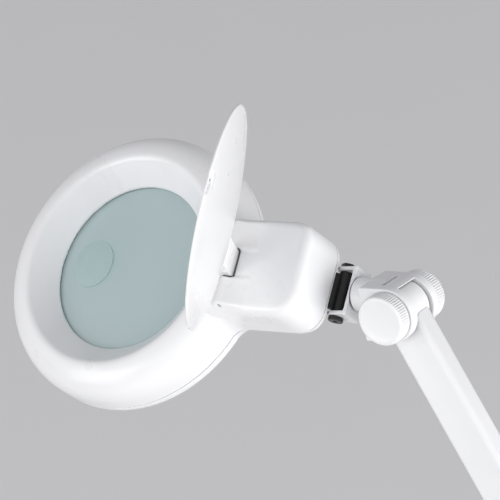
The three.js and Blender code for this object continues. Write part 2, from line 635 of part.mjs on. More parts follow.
// A round knob with straight ridges. Every second side of the grip stands out.
function knobSolid(side) {
  const cap = KNOB_LENGTH;
  const outline = [
    [0, 0],
    [KNOB_R, 0],
    [KNOB_R, cap - 2.6],
    [KNOB_R - 0.8, cap - 0.9],
    [KNOB_R - 2.8, cap],
    [0, cap],
  ];
  const points = outline.map((p) => new THREE.Vector2(...p));
  const geometry = new THREE.LatheGeometry(points, 2 * KNOB_RIDGES);
  const position = geometry.getAttribute("position");
  for (let i = 0; i < position.count; i++) {
    const meridian = Math.floor(i / points.length);
    const grip = i % points.length;
    if (meridian % 2 === 0 || grip < 1 || grip > 2) continue;
    const grow = 1 + KNOB_GRIP / KNOB_R;
    position.setXYZ(i, position.getX(i) * grow, position.getY(i), position.getZ(i) * grow);
  }
  const facing = side > 0 ? geometry : geometry.rotateX(Math.PI);
  const start = side * (EAR_OUTER + GAP);
  const depth = AXLE_HALF - EAR_OUTER + 0.4;
  const bore = barAlongY(AXLE_R + 0.1, 2 * depth, 0, side * EAR_OUTER);
  return cut(solid(facing.translate(0, start, 0)), bore);
}

// ---- Head joint: the block that the yoke rolls on, with a flat top over the barrel ----

function buildHeadBlock(joint) {
  const bossEnd = WEB_BACK + BOSS_GAP - TILT_BEHIND;
  const boss = barAlongX(EAR_R - TILT_BELOW, BOSS_TALL, bossEnd + BOSS_TALL / 2, 0, TILT_BELOW, 24);
  const round = barAlongY(SLOT_R, 2 * EAR_INNER, 0, 0, 0, MEDIUM);
  const swing = block([PLATE_EDGE, -EAR_INNER, -30], [30, EAR_INNER, 30]);
  const belowTop = block([-SLOT_R, -EAR_INNER, -30], [PLATE_EDGE, EAR_INNER, SLOT_R]);
  const slit = block([SLIT.start, -SLIT.half, SLIT.floor], [SLIT.start + SLIT.width, SLIT.half, 30]);
  const rollBore = barAlongX(AXLE_R + 0.1, 30, -20, 0, TILT_BELOW);
  const pocketMiddle = NUT_POCKET_TALL / 2 - BLOCK_LENGTH;
  const nutPocket = barAlongX(NUT_POCKET_R, NUT_POCKET_TALL, pocketMiddle, 0, TILT_BELOW, 24);
  const blank = joined(forkSolid(BLOCK_LENGTH), boss);
  const made = cut(blank, round, swing, belowTop, slit, rollBore, nutPocket);
  piece(joint, "joint_block", made, finish.whitePaint);
  buildAxleSet(joint, "head");
}

// ---- Arms, each drawn from its near pivot along +X to its far pivot ----

function tubeSolid() {
  const outer = beam(roundedOutline(TUBE_WIDE, TUBE_TALL, TUBE_CORNER), 0, ARM);
  const inside = [TUBE_WIDE - 2 * TUBE_WALL, TUBE_TALL - 2 * TUBE_WALL, TUBE_CORNER - TUBE_WALL];
  return cut(outer, beam(roundedOutline(...inside), -1, ARM + 1));
}

// What fills the end of a tube, from start to end
function spigotSolid(start, end) {
  const clear = TUBE_WALL + GAP;
  const outline = roundedOutline(TUBE_WIDE - 2 * clear, TUBE_TALL - 2 * clear, TUBE_CORNER - TUBE_WALL);
  return beam(outline, start, end);
}

// The barrel that turns between the ears, with a spigot inside the tube
function barrelSolid() {
  const stem = spigotSolid(SPIGOT_START, SPIGOT_END);
  const barrel = barAlongY(BARREL_R, 2 * BARREL_HALF, 0, 0, 0, MEDIUM);
  return cut(joined(barrel, stem), barAlongY(AXLE_R + 0.1, 40));
}

function turnedRound(shape) {
  return shape.rotate([0, 180, 0]).translate([ARM, 0, 0]);
}

function cable(high) {
  const low = SPIGOT_END + CABLE_CLEAR;
  return barAlongX(CABLE_R, high - low, (low + high) / 2, 0, -CABLE_DROP, 8);
}

function buildUpperArm(arm) {
  const nearCope = barAlongY(BARREL_R + GAP, 40, 0, 0, 0, MEDIUM);
  const farCope = barAlongY(BARREL_R + GAP, 40, ARM, 0, 0, MEDIUM);
  piece(arm, "upper_arm_tube", cut(tubeSolid(), nearCope, farCope), finish.whitePaint);
  piece(arm, "upper_arm_head_barrel", barrelSolid(), finish.whitePaint);
  piece(arm, "upper_arm_elbow_barrel", turnedRound(barrelSolid()), finish.whitePaint);
  piece(arm, "upper_arm_cable", cable(ARM - SPIGOT_END - CABLE_CLEAR), finish.rubber);
}

function buildLowerArm(arm) {
  const nearCope = barAlongY(BARREL_R + GAP, 40, 0, 0, 0, MEDIUM);
  const farEnd = block([ARM - ELBOW_FORK - GAP, -30, -30], [ARM + 30, 30, 30]);
  piece(arm, "lower_arm_tube", cut(tubeSolid(), nearCope, farEnd), finish.whitePaint);
  piece(arm, "lower_arm_barrel", barrelSolid(), finish.whitePaint);
  piece(arm, "lower_arm_cable", cable(ARM - ELBOW_FORK - ELBOW_STEM - CABLE_CLEAR), finish.rubber);
  const stem = spigotSolid(-ELBOW_FORK - ELBOW_STEM, 2 - ELBOW_FORK);
  const elbow = groupAt(arm, ARM, 0, 0);
  const fork = cut(forkSolid(ELBOW_FORK), barrelSlot(), openCorners());
  piece(elbow, "elbow_fork", joined(fork, stem), finish.whitePaint);
  buildAxleSet(elbow, "elbow");
}

// ---- Base: the fork on its steel post ----
function buildBase(base) {
  const fork = groupAt(base, 0, 0, 0);
  fork.rotation.y = -Math.PI / 2;
  const postBore = barAlongX(POST_R + 0.1, 2 * POST_SOCKET, -BASE_FORK);
  const inletBore = barAlongZ(INLET_R + 0.2, 10, -INLET_DROP, 0, EAR_R - 3);
  const body = cut(forkSolid(BASE_FORK), barrelSlot(), openCorners(), postBore, inletBore);
  piece(fork, "base_fork", body, finish.whitePaint);
  buildAxleSet(fork, "base");
  const socket = barAlongZ(INLET_R, INLET_DEEP + 0.5, -INLET_DROP, 0, EAR_R + 0.25 - INLET_DEEP / 2);
  const plugHole = barAlongZ(INLET_HOLE_R, 6, -INLET_DROP, 0, EAR_R);
  piece(fork, "power_inlet", cut(socket, plugHole), finish.blackPlastic);
  const postTop = POST_SOCKET - 0.5 - BASE_FORK;
  const postFoot = POST_END - BASE_FORK - BASE_LIFT - BOSS_TOP;
  const post = barAlongX(POST_R, postTop - postFoot, (postTop + postFoot) / 2);
  piece(fork, "swivel_post", post, finish.steel);
}

// ---- Clamp ----

function buildClamp(root) {
  const under = JAW_LINER + 0.1;
  const outline = [
    [JAW_FRONT, under],
    [SPINE_IN, under],
    [SPINE_IN, LOWER_JAW + JAW_STEP],
    [SCREW_X - 13, LOWER_JAW + JAW_STEP],
    [SCREW_X - 13, LOWER_JAW],
    [SPINE_OUT - 5, LOWER_JAW],
    [SPINE_OUT, LOWER_JAW + 5],
    [SPINE_OUT, JAW_TOP - 3],
    [SPINE_OUT - 3, JAW_TOP],
    [JAW_FRONT + 3, JAW_TOP],
    [JAW_FRONT, JAW_TOP - 3],
  ];
  const shape = new THREE.Shape(outline.map(([x, z]) => new THREE.Vector2(x, z)));
  const frame = plate(shape, -JAW_HALF, JAW_HALF);
  const boss = barAlongZ(BOSS_R, BOSS_TOP - JAW_TOP + 1, 0, 0, (BOSS_TOP + JAW_TOP - 1) / 2, MEDIUM);
  const nut = barAlongZ(NUT_R, NUT_HIGH - NUT_LOW, SCREW_X, 0, (NUT_HIGH + NUT_LOW) / 2, 24);
  const postBore = barAlongZ(BUSH_R + 0.2, BOSS_TOP, 0, 0, POST_END - 0.6 + BOSS_TOP / 2, 24);
  const screwBore = barAlongZ(SCREW_R + 0.2, 40, SCREW_X, 0, LOWER_JAW);
  piece(root, "clamp_body", cut(joined(frame, boss, nut), postBore, screwBore), finish.whitePaint);
  const liner = block([JAW_FRONT + 1, 1 - JAW_HALF, 0], [SPINE_IN - 1, JAW_HALF - 1, JAW_LINER]);
  piece(root, "jaw_liner", liner, finish.rubber);
  const bushFoot = POST_END - GAP;
  const flange = BOSS_TOP + 0.1;
  const bush = [
    [POST_R + 0.1, bushFoot],
    [BUSH_R, bushFoot],
    [BUSH_R, flange],
    [BUSH_FLANGE_R, flange],
    [BUSH_FLANGE_R, flange + BUSH_FLANGE],
    [POST_R + 0.1, flange + BUSH_FLANGE],
  ];
  piece(root, "swivel_bush", turned(bush, 24), finish.blackPlastic);
}

// The screw with its swivelling foot under the table, drawn about the foot's top
function buildClampScrew(screw) {
  piece(screw, "foot_pad", barAlongZ(FOOT_R - 1, PAD_THICK, 0, 0, -PAD_THICK / 2, 24), finish.rubber);
  const footTop = -PAD_THICK - 0.1;
  const foot = [
    [0, footTop],
    [0, -4.4],
    [SCREW_R - 0.5, -4.4],
    [SCREW_R + 0.4, -9],
    [SCREW_R + 4, -9],
    [FOOT_R, -5],
    [FOOT_R, footTop],
  ];
  piece(screw, "clamp_foot", turned(foot, 24), finish.blackSteel);
  const shank = barAlongZ(SCREW_R, SCREW_LENGTH, 0, 0, -9.4 - SCREW_LENGTH / 2);
  const nose = turned([[0, -10], [SCREW_R - 0.4, -10], [SCREW_R - 0.9, -4.8], [0, -4.8]], SMALL);
  const head = barAlongZ(SCREW_HEAD_R, SCREW_HEAD_TALL, 0, 0, -BAR_DROP, 20);
  const crossHole = barAlongY(CROSS_BAR_R + 0.2, 30, 0, 0, -BAR_DROP, 12);
  piece(screw, "clamp_screw", cut(joined(shank, nose, head), crossHole), finish.steel);
  const bar = barAlongY(CROSS_BAR_R, BAR_LENGTH, 0, 0, -BAR_DROP, 12);
  const ends = [-1, 1].map((side) =>
    barAlongY(BAR_END_R, BAR_END_LONG, 0, (side * BAR_LENGTH) / 2, -BAR_DROP, 12),
  );
  piece(screw, "clamp_bar", joined(bar, ...ends), finish.steel);
}

// ---- Assembly ----
const lamp = new THREE.Group();
buildClamp(lamp);
buildClampScrew(groupAt(lamp, SCREW_X, 0, -TABLE));

const baseHeight = BOSS_TOP + BASE_LIFT + BASE_FORK;
buildBase(groupAt(lamp, 0, 0, baseHeight));

const lowerArm = groupAt(lamp, 0, 0, baseHeight);
lowerArm.rotation.y = degrees(LOWER_LEAN - 90);
buildLowerArm(lowerArm);

const elbowX = ARM * Math.sin(degrees(LOWER_LEAN));
const elbowZ = baseHeight + ARM * Math.cos(degrees(LOWER_LEAN));
const tiltX = elbowX - ARM * Math.cos(degrees(UPPER_DROP));
const tiltZ = elbowZ + ARM * Math.sin(degrees(UPPER_DROP));
const upperArm = groupAt(lamp, tiltX, 0, tiltZ);
upperArm.rotation.y = degrees(UPPER_DROP);
buildUpperArm(upperArm);

const headJoint = groupAt(lamp, tiltX, 0, tiltZ);
headJoint.rotation.y = degrees(-HEAD_PITCH);
buildHeadBlock(headJoint);

const yoke = groupAt(headJoint, -TILT_BEHIND, 0, TILT_BELOW);
yoke.rotation.x = degrees(HEAD_ROLL);
buildYoke(yoke);

const head = groupAt(yoke, -NOD_X, 0, -NOD_Z);
buildHead(head);

const cover = groupAt(head, HINGE_X, 0, HINGE_Z);
cover.rotation.y = degrees(COVER_OPEN);
buildCover(cover);

export default lamp;
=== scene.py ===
"""Looks of the ring-lit magnifying lamp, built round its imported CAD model.

Lengths are in millimetres in each sub-assembly's own frame. show() turns them into metres in the row frame.
"""

import json
import math

import bpy
import numpy as np
from mathutils import Matrix, Vector


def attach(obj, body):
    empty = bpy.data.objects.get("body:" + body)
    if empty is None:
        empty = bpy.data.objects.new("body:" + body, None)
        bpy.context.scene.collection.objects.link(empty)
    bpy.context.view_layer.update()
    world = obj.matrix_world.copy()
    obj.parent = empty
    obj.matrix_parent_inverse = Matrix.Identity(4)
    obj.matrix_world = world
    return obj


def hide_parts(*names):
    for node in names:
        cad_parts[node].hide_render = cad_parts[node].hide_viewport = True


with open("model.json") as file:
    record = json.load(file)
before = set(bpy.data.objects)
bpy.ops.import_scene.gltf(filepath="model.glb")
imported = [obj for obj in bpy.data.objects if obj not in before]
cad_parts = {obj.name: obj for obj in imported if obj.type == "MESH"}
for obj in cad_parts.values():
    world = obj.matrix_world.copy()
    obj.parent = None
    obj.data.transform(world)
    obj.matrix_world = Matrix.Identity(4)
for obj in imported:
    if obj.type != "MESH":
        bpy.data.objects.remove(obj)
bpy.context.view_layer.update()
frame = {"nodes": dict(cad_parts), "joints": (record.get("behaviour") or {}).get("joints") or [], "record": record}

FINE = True

# ---- Sizes, as in the CAD model ----
GAP, WALL, BORE_GAP = 0.3, 2.4, 0.1
LENS_R, LENS_EDGE, LENS_SAG, LENS_TOP = 63.5, 3.5, 5.8, -2.3
LENS_UNDER, LENS_SEAT, GASKET_LIP, RETAINER_THICK = LENS_TOP - LENS_EDGE, 67.5, 1.2, 2
APERTURE_R, WINDOW_R = 62, 88
FUNNEL_R, FUNNEL_TOP = 76.6, 14.9
RIM_R, RIM_TOP = 82, 16.2
HEAD_R, SIDE_TOP, SIDE_FOOT, FOOT_ROUND, HEAD_BOTTOM = 100.8, -8, -20, 8, -28
SHOULDER_PULL = 12
PARTING = -18
NECK_START, NECK_END, NECK_HALF = 86, 163, 37
NECK_TOP, NECK_BOTTOM = 20, -25
NECK_ROUND, NECK_CORNER, REAR_ROUND = 9, 20, 6
NECK_FLOOR = NECK_BOTTOM + WALL + GAP
INSET_R, INSET_X = 18, -31
SHELL_SCREWS, SHELL_SCREW_RING, SHELL_BOSS_R = (115, 180, 245), 94.6, 4
SCREW_SHANK_R, SCREW_CAP_R, NECK_CAP_R = 1.1, 2.5, 3
NECK_SCREW_X, BUTTON_X, BUTTON_TRAVEL, BUTTON_TALL = 147, 128, 1.5, 7
BUTTON_LONG, BUTTON_WIDE, BUTTON_ROOM = 9.6, 5.6, 0.4
DISH_DROP, DISH_R = 24, 24.6
TRAY_Z, TRAY_INNER, TRAY_STEM, SHELF_THICK = -15, 64.5, 66.5, 1.5
BOARD_INNER, BOARD_THICK, WINDOW_INNER, WINDOW_THICK = 67.5, 1.6, 66.9, 2
LED_COUNT, LED_RING = 20, 78.5
LED_LONG, LED_WIDE, LED_TALL = 1.75, 1.4, 1.2
COVER_R, COVER_RISE, COVER_EDGE, COVER_WALL, COVER_OPEN = 77.3, 6, 2, 2, 119
KNUCKLE_R, KNUCKLE_HALF, KNUCKLE_REACH = 4, 10, 28
SCOOP_R, SCOOP_OUT, SCOOP_FLOOR = 9, 1.5, 1.2
HINGE_X, HINGE_Z, HINGE_R, HINGE_PIN_R = 102, 20, 4.4, 1.5
COVER_LOW = RIM_TOP + 1 - HINGE_Z
LUG_INNER, LUG_OUTER, LUG_RAMP = 10.7, 31, 19
NOTCH_BEHIND, NOTCH_FLOOR = 6, HINGE_Z - KNUCKLE_R - 0.6
NOD_X, NOD_Z, BAR_R, BAR_HALF, NOD_BOLT_R = 165, -30, 5, 14.6, 2.5
ROOM_FRONT, ROOM_BACK, ROOM_BELOW, ROOM_ABOVE = 14, 9, 12, 10
PIVOT_HALF, PIVOT_FRONT, PIVOT_BACK, PIVOT_THICK, PIVOT_WEB, PIVOT_SLOPE = 13, 139, 155, 5, 22, 38
CHEEK_INNER, CHEEK_OUTER, CHEEK_END_R, CHEEK_HALF, WEB_BACK = 15, 17.8, 7, 9, 13
YOKE_THICK, YOKE_FLOOR, YOKE_FLOOR_START = 2.8, 2.5, 2
BOLT_HEAD_R, BOLT_HEAD_TALL, BOLT_NUT_HALF = 5.5, 3, 4.76
ROLL_HEAD_R, ROLL_HEAD_TALL, ROLL_WASHER_R = 6, 2.2, 11
ROLL_NUT_HALF, ROLL_NUT_TALL, ROLL_NUT_AT = 5.54, 3.4, 15.2
TILT_BEHIND, TILT_BELOW, PLATE_EDGE = 48, 7.5, 7
BOSS_GAP, BOSS_TALL, BLOCK_LENGTH = 1.3, 16, 21.8
SLIT_START, SLIT_WIDTH, SLIT_HALF, SLIT_FLOOR = -7, 2.2, 9.5, 10
NUT_POCKET_R, NUT_POCKET_TALL = 7, 8
BARREL_R, BARREL_HALF, SLOT_R = 17, 9.4, 17.6
EAR_R, EAR_INNER, EAR_OUTER = 19.5, 10.7, 17.8
AXLE_R, AXLE_HALF, WASHER_R, WASHER_THICK = 4, 25, 14, 0.9
KNOB_R, KNOB_LENGTH, KNOB_GRIP, KNOB_RIDGES = 17.9, 10.9, 0.5, 62
ARM, TUBE_TALL, TUBE_WIDE, TUBE_WALL, TUBE_CORNER = 360, 31, 17.5, 1.6, 4
SPIGOT_START, SPIGOT_END, ELBOW_FORK, ELBOW_STEM, BASE_FORK = 8, 40, 28, 20, 38
POST_R, POST_SOCKET, POST_END, BOSS_R, BOSS_TOP, BASE_LIFT = 6, 12, 14.6, 13, 40, 2
BUSH_R, BUSH_FLANGE_R, BUSH_FLANGE = 8, 11.5, 1.5
INLET_DROP, INLET_R, INLET_DEEP, INLET_HOLE_R = 24, 3.9, 7.7, 2.6
JAW_LINER, JAW_TOP, JAW_HALF, JAW_FRONT, JAW_STEP = 1.9, 10, 24, -48, 8
SPINE_IN, SPINE_OUT, LOWER_JAW = 18, 26, -84
SCREW_X, SCREW_R, THREAD_PITCH, TABLE = -24, 5, 3, 25
NUT_R, NUT_LOW, NUT_HIGH = 11, -90, -72
FOOT_R, SCREW_LENGTH, BAR_LENGTH = 17, 96, 72
SCREW_HEAD_R, SCREW_HEAD_TALL = 8, 14
CROSS_BAR_R, BAR_END_R, BAR_END_LONG = 2.9, 4.2, 4
BAR_DROP = SCREW_LENGTH + 9

# ---- Frames of the sub-assemblies ----
joints = {joint["name"]: joint for joint in frame["joints"]}


def pivot(name):
    return Vector(joints[name]["pos_m"])


def placed(origin, x_axis, y_axis):
    """Millimetres in a frame at origin, with these two axes, as metres in the row frame."""
    axes = [x_axis, y_axis, x_axis.cross(y_axis)]
    columns = Matrix([[axis[row] for axis in axes] for row in range(3)]).to_4x4()
    return Matrix.Translation(origin) @ columns @ Matrix.Scale(0.001, 4)


along_x, along_y, along_z = Vector((1, 0, 0)), Vector((0, 1, 0)), Vector((0, 0, 1))
roll_axis = Vector(joints["head_roll"]["axis"]).normalized()
nod_axis = Vector(joints["head_nod"]["axis"]).normalized()
lens_axis = roll_axis.cross(nod_axis)
nod, tilt = pivot("head_nod"), pivot("head_tilt")
elbow, shoulder = pivot("elbow_bend"), pivot("lower_arm_lean")
opened = math.radians(COVER_OPEN)

HEAD = placed(nod - 0.001 * (NOD_X * roll_axis + NOD_Z * lens_axis), roll_axis, nod_axis)
COVER = placed(pivot("cover_swing"), math.cos(opened) * roll_axis - math.sin(opened) * lens_axis, nod_axis)
YOKE = placed(nod, roll_axis, nod_axis)
BLOCK = placed(tilt, roll_axis, along_y)
UPPER = placed(tilt, (elbow - tilt).normalized(), along_y)
LOWER = placed(shoulder, (elbow - shoulder).normalized(), along_y)
ELBOW = placed(elbow, (elbow - shoulder).normalized(), along_y)
BASE = placed(shoulder, along_z, along_y)
TABLE_TOP = placed(Vector((0, 0, 0)), along_x, along_y)
SCREW = placed(Vector((SCREW_X, 0, -TABLE)) * 0.001, along_x, along_y)

FACING_FRONT = Matrix.Rotation(math.radians(90), 4, "X")
FACING_REAR = Matrix.Rotation(math.radians(-90), 4, "X")
FACING_ARM = Matrix.Rotation(math.radians(90), 4, "Y")


# ---- Meshes ----
def rounded(corners, closed=True, steps=5):
    """Points along an outline of (u, v) or (u, v, corner radius)."""
    points = []
    count = len(corners)
    for i, corner in enumerate(corners):
        here = np.array(corner[:2], float)
        radius = corner[2] if len(corner) > 2 else 0
        at_end = not closed and i in (0, count - 1)
        if radius == 0 or at_end:
            points.append(tuple(here))
            continue
        before = np.array(corners[i - 1][:2], float) - here
        after = np.array(corners[(i + 1) % count][:2], float) - here
        before /= np.linalg.norm(before)
        after /= np.linalg.norm(after)
        half = math.acos(np.clip(before @ after, -1, 1)) / 2
        reach = radius / math.tan(half)
        middle = here + (before + after) / np.linalg.norm(before + after) * radius / math.sin(half)
        start = here + before * reach - middle
        end = here + after * reach - middle
        turn = math.pi - 2 * half
        for k in range(steps + 1):
            share = k / steps
            blend = math.sin((1 - share) * turn) * start + math.sin(share * turn) * end
            points.append(tuple(middle + blend / math.sin(turn)))
    return points


def curve(start, pull, end, steps=12):
    """Points of a quadratic curve, without its start."""
    start, pull, end = [np.array(point, float) for point in (start, pull, end)]
    shares = np.linspace(0, 1, steps + 1)[1:]
    return [tuple((1 - t) ** 2 * start + 2 * t * (1 - t) * pull + t**2 * end) for t in shares]


def ring_quads(rings, sides, closed, inward=False):
    """Faces between rings of points, and from the last ring to the first if closed."""
    faces = []
    for row in range(rings if closed else rings - 1):
        low, high = row * sides, (row + 1) % rings * sides
        for i in range(sides):
            j = (i + 1) % sides
            outward = (low + i, low + j, high + j, high + i)
            faces.append((low + i, high + i, high + j, low + j) if inward else outward)
    return faces


def lathe(profile, sides=96, ripple=None):
    """A profile of (radius, height) turned about Z. Points on the axis close it, and others join up."""
    open_ended = profile[0][0] < 1e-6 and profile[-1][0] < 1e-6
    ring = profile[1:-1] if open_ended else profile
    angles = np.arange(sides) * 2 * math.pi / sides
    rows = []
    for i, (radius, height) in enumerate(ring):
        reach = radius + (ripple(i, angles) if ripple else 0 * angles)
        level = np.full(sides, float(height))
        rows.append(np.column_stack([reach * np.cos(angles), reach * np.sin(angles), level]))
    points = [tuple(p) for p in np.concatenate(rows)]
    faces = ring_quads(len(ring), sides, not open_ended)
    if open_ended:
        last = (len(ring) - 1) * sides
        for end, base, flip in ((profile[0], 0, True), (profile[-1], last, False)):
            points.append((0, 0, end[1]))
            tip = len(points) - 1
            for i in range(sides):
                j = (i + 1) % sides
                faces.append((tip, base + j, base + i) if flip else (tip, base + i, base + j))
    return np.array(points), faces


def moved(shape, matrix):
    points, faces = shape
    turned = np.array(matrix)[:3, :3]
    return points @ turned.T + np.array(matrix)[:3, 3], faces


def together(*shapes):
    points, faces, start = [], [], 0
    for some, own in shapes:
        points.append(some)
        faces += [tuple(index + start for index in face) for face in own]
        start += len(some)
    return np.concatenate(points), faces


def rod(radius, low, high, edge=0.4, sides=48):
    corners = [(0, low), (radius, low, edge), (radius, high, edge), (0, high)]
    return lathe(rounded(corners, closed=False, steps=3), sides)


def tube_between(inner, outer, low, high, edge=0.3, sides=96):
    corners = [(inner, low, edge), (outer, low, edge), (outer, high, edge), (inner, high, edge)]
    return lathe(rounded(corners, steps=3), sides)


# ---- Solids given by their distance function, negative inside ----
def box(p, low, high, edge=0.0):
    sides = [abs(c - (a + b) / 2) - (b - a) / 2 + edge for c, a, b in zip(p, low, high)]
    outside = np.sqrt(sum(np.maximum(side, 0) ** 2 for side in sides))
    return outside + np.minimum(np.maximum(np.maximum(sides[0], sides[1]), sides[2]), 0) - edge


def between(flat, across, low, high, edge=0.0):
    """An outline's flat distance, given a thickness from low to high with rounded edges."""
    side = flat + edge
    end = abs(across - (low + high) / 2) - (high - low) / 2 + edge
    return np.minimum(np.maximum(side, end), 0) + np.hypot(np.maximum(side, 0), np.maximum(end, 0)) - edge


def disc(u, v, radius, at=(0, 0)):
    return np.hypot(u - at[0], v - at[1]) - radius


def outline(u, v, points):
    """Signed distance to a closed outline in the plane."""
    nearest, sign = np.inf, 1.0
    for (au, av), (bu, bv) in zip(points, points[1:] + points[:1]):
        eu, ev = bu - au, bv - av
        wu, wv = u - au, v - av
        length = eu * eu + ev * ev
        if length < 1e-12:
            continue
        share = np.clip((wu * eu + wv * ev) / length, 0, 1)
        nearest = np.minimum(nearest, (wu - share * eu) ** 2 + (wv - share * ev) ** 2)
        above, below, left = v >= av, v < bv, eu * wv > ev * wu
        crossing = (above & below & left) | (~above & ~below & ~left)
        sign = np.where(crossing, -sign, sign)
    return sign * np.sqrt(nearest)


def rectangle(u, v, low, high, corner):
    sides = [abs(c - (a + b) / 2) - (b - a) / 2 + corner for c, a, b in zip((u, v), low, high)]
    outside = np.hypot(np.maximum(sides[0], 0), np.maximum(sides[1], 0))
    return outside + np.minimum(np.maximum(sides[0], sides[1]), 0) - corner


def join(a, b, fillet=0.0):
    if np.all(fillet == 0):
        return np.minimum(a, b)
    inner = np.hypot(np.maximum(fillet - a, 0), np.maximum(fillet - b, 0))
    return np.maximum(fillet, np.minimum(a, b)) - inner


def keep(a, b, edge=0.0):
    if edge == 0:
        return np.maximum(a, b)
    return np.minimum(-edge, np.maximum(a, b)) + np.hypot(np.maximum(edge + a, 0), np.maximum(edge + b, 0))


def carve(a, b, edge=0.0):
    return keep(a, -b, edge)


def bored(whole, u, v, radius, at=(0, 0), edge=0.2):
    """Cuts a round hole with room for the pin of this radius."""
    return carve(whole, disc(u, v, radius + BORE_GAP, at), edge)


def hexagon(x, y, half):
    return np.maximum(abs(x), abs(x) * 0.5 + abs(y) * 0.866) - half


class Turned:
    """Distance to a closed profile of (radius, height) turned about Z, exact for single points.

    A grid reads it from a table.
    """

    STEP = 0.25

    def __init__(self, points):
        r, z = np.array(points).T
        self.low = np.array([max(r.min() - 12, 0), z.min() - 12])
        counts = (np.array([r.max() + 12, z.max() + 12]) - self.low) / self.STEP
        u = self.low[0] + np.arange(int(counts[0]) + 2)[:, None] * self.STEP
        v = self.low[1] + np.arange(int(counts[1]) + 2)[None, :] * self.STEP
        self.points = [tuple(p) for p in points]
        self.table = outline(u, v, self.points).astype(np.float32)

    def __call__(self, x, y, z):
        if np.ndim(x) == 1 and FINE:
            return outline(np.hypot(x, y), z, self.points)
        u = (np.hypot(x, y) - self.low[0]) / self.STEP
        v = (z - self.low[1]) / self.STEP
        top = np.array(self.table.shape) - 2
        i = np.clip(u.astype(int), 0, top[0])
        j = np.clip(v.astype(int), 0, top[1])
        s, t = np.clip(u - i, -40, 40), np.clip(v - j, -40, 40)
        near = self.table[i, j] * (1 - t) + self.table[i, j + 1] * t
        far = self.table[i + 1, j] * (1 - t) + self.table[i + 1, j + 1] * t
        return near * (1 - s) + far * s


def surfaced(distance, low, high, step):
    """A mesh of quads on the surface where the distance function is nought."""
    if not FINE:
        step *= 1.8
    counts = [int(math.ceil((b - a) / step)) + 5 for a, b in zip(low, high)]
    origin = np.array(low, float) - 2 * step
    lines = [o + np.arange(n) * step for o, n in zip(origin, counts)]
    grid = np.meshgrid(*lines, indexing="ij", sparse=True)
    field = np.broadcast_to(distance(*grid), counts).astype(np.float32)
    inside = field < 0
    nx, ny, nz = [n - 1 for n in counts]
    corners = [(a, b, c) for a in (0, 1) for b in (0, 1) for c in (0, 1)]
    total = sum(inside[a : a + nx, b : b + ny, c : c + nz].astype(np.int8) for a, b, c in corners)
    cells = np.argwhere((total > 0) & (total < 8))
    number = np.full((nx, ny, nz), -1, np.int32)
    number[tuple(cells.T)] = np.arange(len(cells))
    place, crossings = np.zeros((len(cells), 3)), np.zeros(len(cells))
    for first in corners:
        for axis in range(3):
            if first[axis]:
                continue
            second = tuple(1 if k == axis else first[k] for k in range(3))
            a = field[tuple((cells + first).T)]
            b = field[tuple((cells + second).T)]
            crossed = (a < 0) != (b < 0)
            share = np.where(crossed, a / np.where(crossed, a - b, 1), 0)
            place[crossed] += np.array(first)
            place[crossed, axis] += share[crossed]
            crossings += crossed
    points = origin + (cells + place / crossings[:, None]) * step
    faces = []
    for axis in range(3):
        u, v = (axis + 1) % 3, (axis + 2) % 3
        ahead = np.roll(inside, -1, axis)
        changed = inside != ahead
        edges = np.argwhere(changed)
        keep_edge = (edges[:, axis] < counts[axis] - 1) & (edges[:, u] > 0) & (edges[:, v] > 0)
        keep_edge &= (edges[:, u] < counts[u] - 1) & (edges[:, v] < counts[v] - 1)
        edges = edges[keep_edge]
        leaving = inside[tuple(edges.T)]
        quad = []
        for du, dv in ((-1, -1), (0, -1), (0, 0), (-1, 0)):
            cell = edges.copy()
            cell[:, u] += du
            cell[:, v] += dv
            quad.append(number[tuple(cell.T)])
        quad = np.stack(quad, 1)
        quad[~leaving] = quad[~leaving][:, ::-1]
        faces.append(quad)
    for _ in range(2):
        points = onto_surface(distance, points, step)
    return points, np.concatenate(faces)


def onto_surface(distance, points, step):
    """Moves each point along the slope of the distance to where it is nought, by at most half a step."""
    reach = 0.05 * step
    here = distance(*points.T)
    slope = np.zeros_like(points)
    for axis in range(3):
        ahead, behind = points.copy(), points.copy()
        ahead[:, axis] += reach
        behind[:, axis] -= reach
        slope[:, axis] = (distance(*ahead.T) - distance(*behind.T)) / (2 * reach)
    size = np.maximum((slope**2).sum(1), 0.25)
    shift = slope * (here / size)[:, None]
    length = np.linalg.norm(shift, axis=1)
    return points - shift * np.minimum(1, 0.5 * step / np.maximum(length, 1e-9))[:, None]


def show(name, shape, place, body, material, nodes=None, crease=35):
    """Makes a shape a piece on a body, in place of CAD nodes: by default, the one of its name.
    """
    points, faces = shape
    matrix = np.array(place)
    world = points @ matrix[:3, :3].T + matrix[:3, 3]
    mesh = bpy.data.meshes.new(name)
    if isinstance(faces, np.ndarray):
        mesh.vertices.add(len(world))
        mesh.vertices.foreach_set("co", world.astype(np.float32).ravel())
        mesh.loops.add(faces.size)
        mesh.loops.foreach_set("vertex_index", faces.astype(np.int32).ravel())
        mesh.polygons.add(len(faces))
        mesh.polygons.foreach_set("loop_start", np.arange(0, faces.size, faces.shape[1], dtype=np.int32))
        mesh.update(calc_edges=True)
        mesh.validate()
    else:
        mesh.from_pydata([tuple(p) for p in world], [], faces)
        mesh.update()
    mesh.shade_smooth()
    mesh.set_sharp_from_angle(angle=math.radians(crease))
    piece = bpy.data.objects.new(name, mesh)
    bpy.context.scene.collection.objects.link(piece)
    piece.data.materials.append(looks[material])
    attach(piece, body)
    for node in nodes if nodes is not None else [name.removesuffix("_look")]:
        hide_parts(node)
    return piece


def solid(name, distance, low, high, step, place, body, material, crease=50, nodes=None):
    """Shows the surface of a distance function."""
    show(name, surfaced(distance, low, high, step), place, body, material, nodes, crease)


# ---- Materials ----
looks = {}


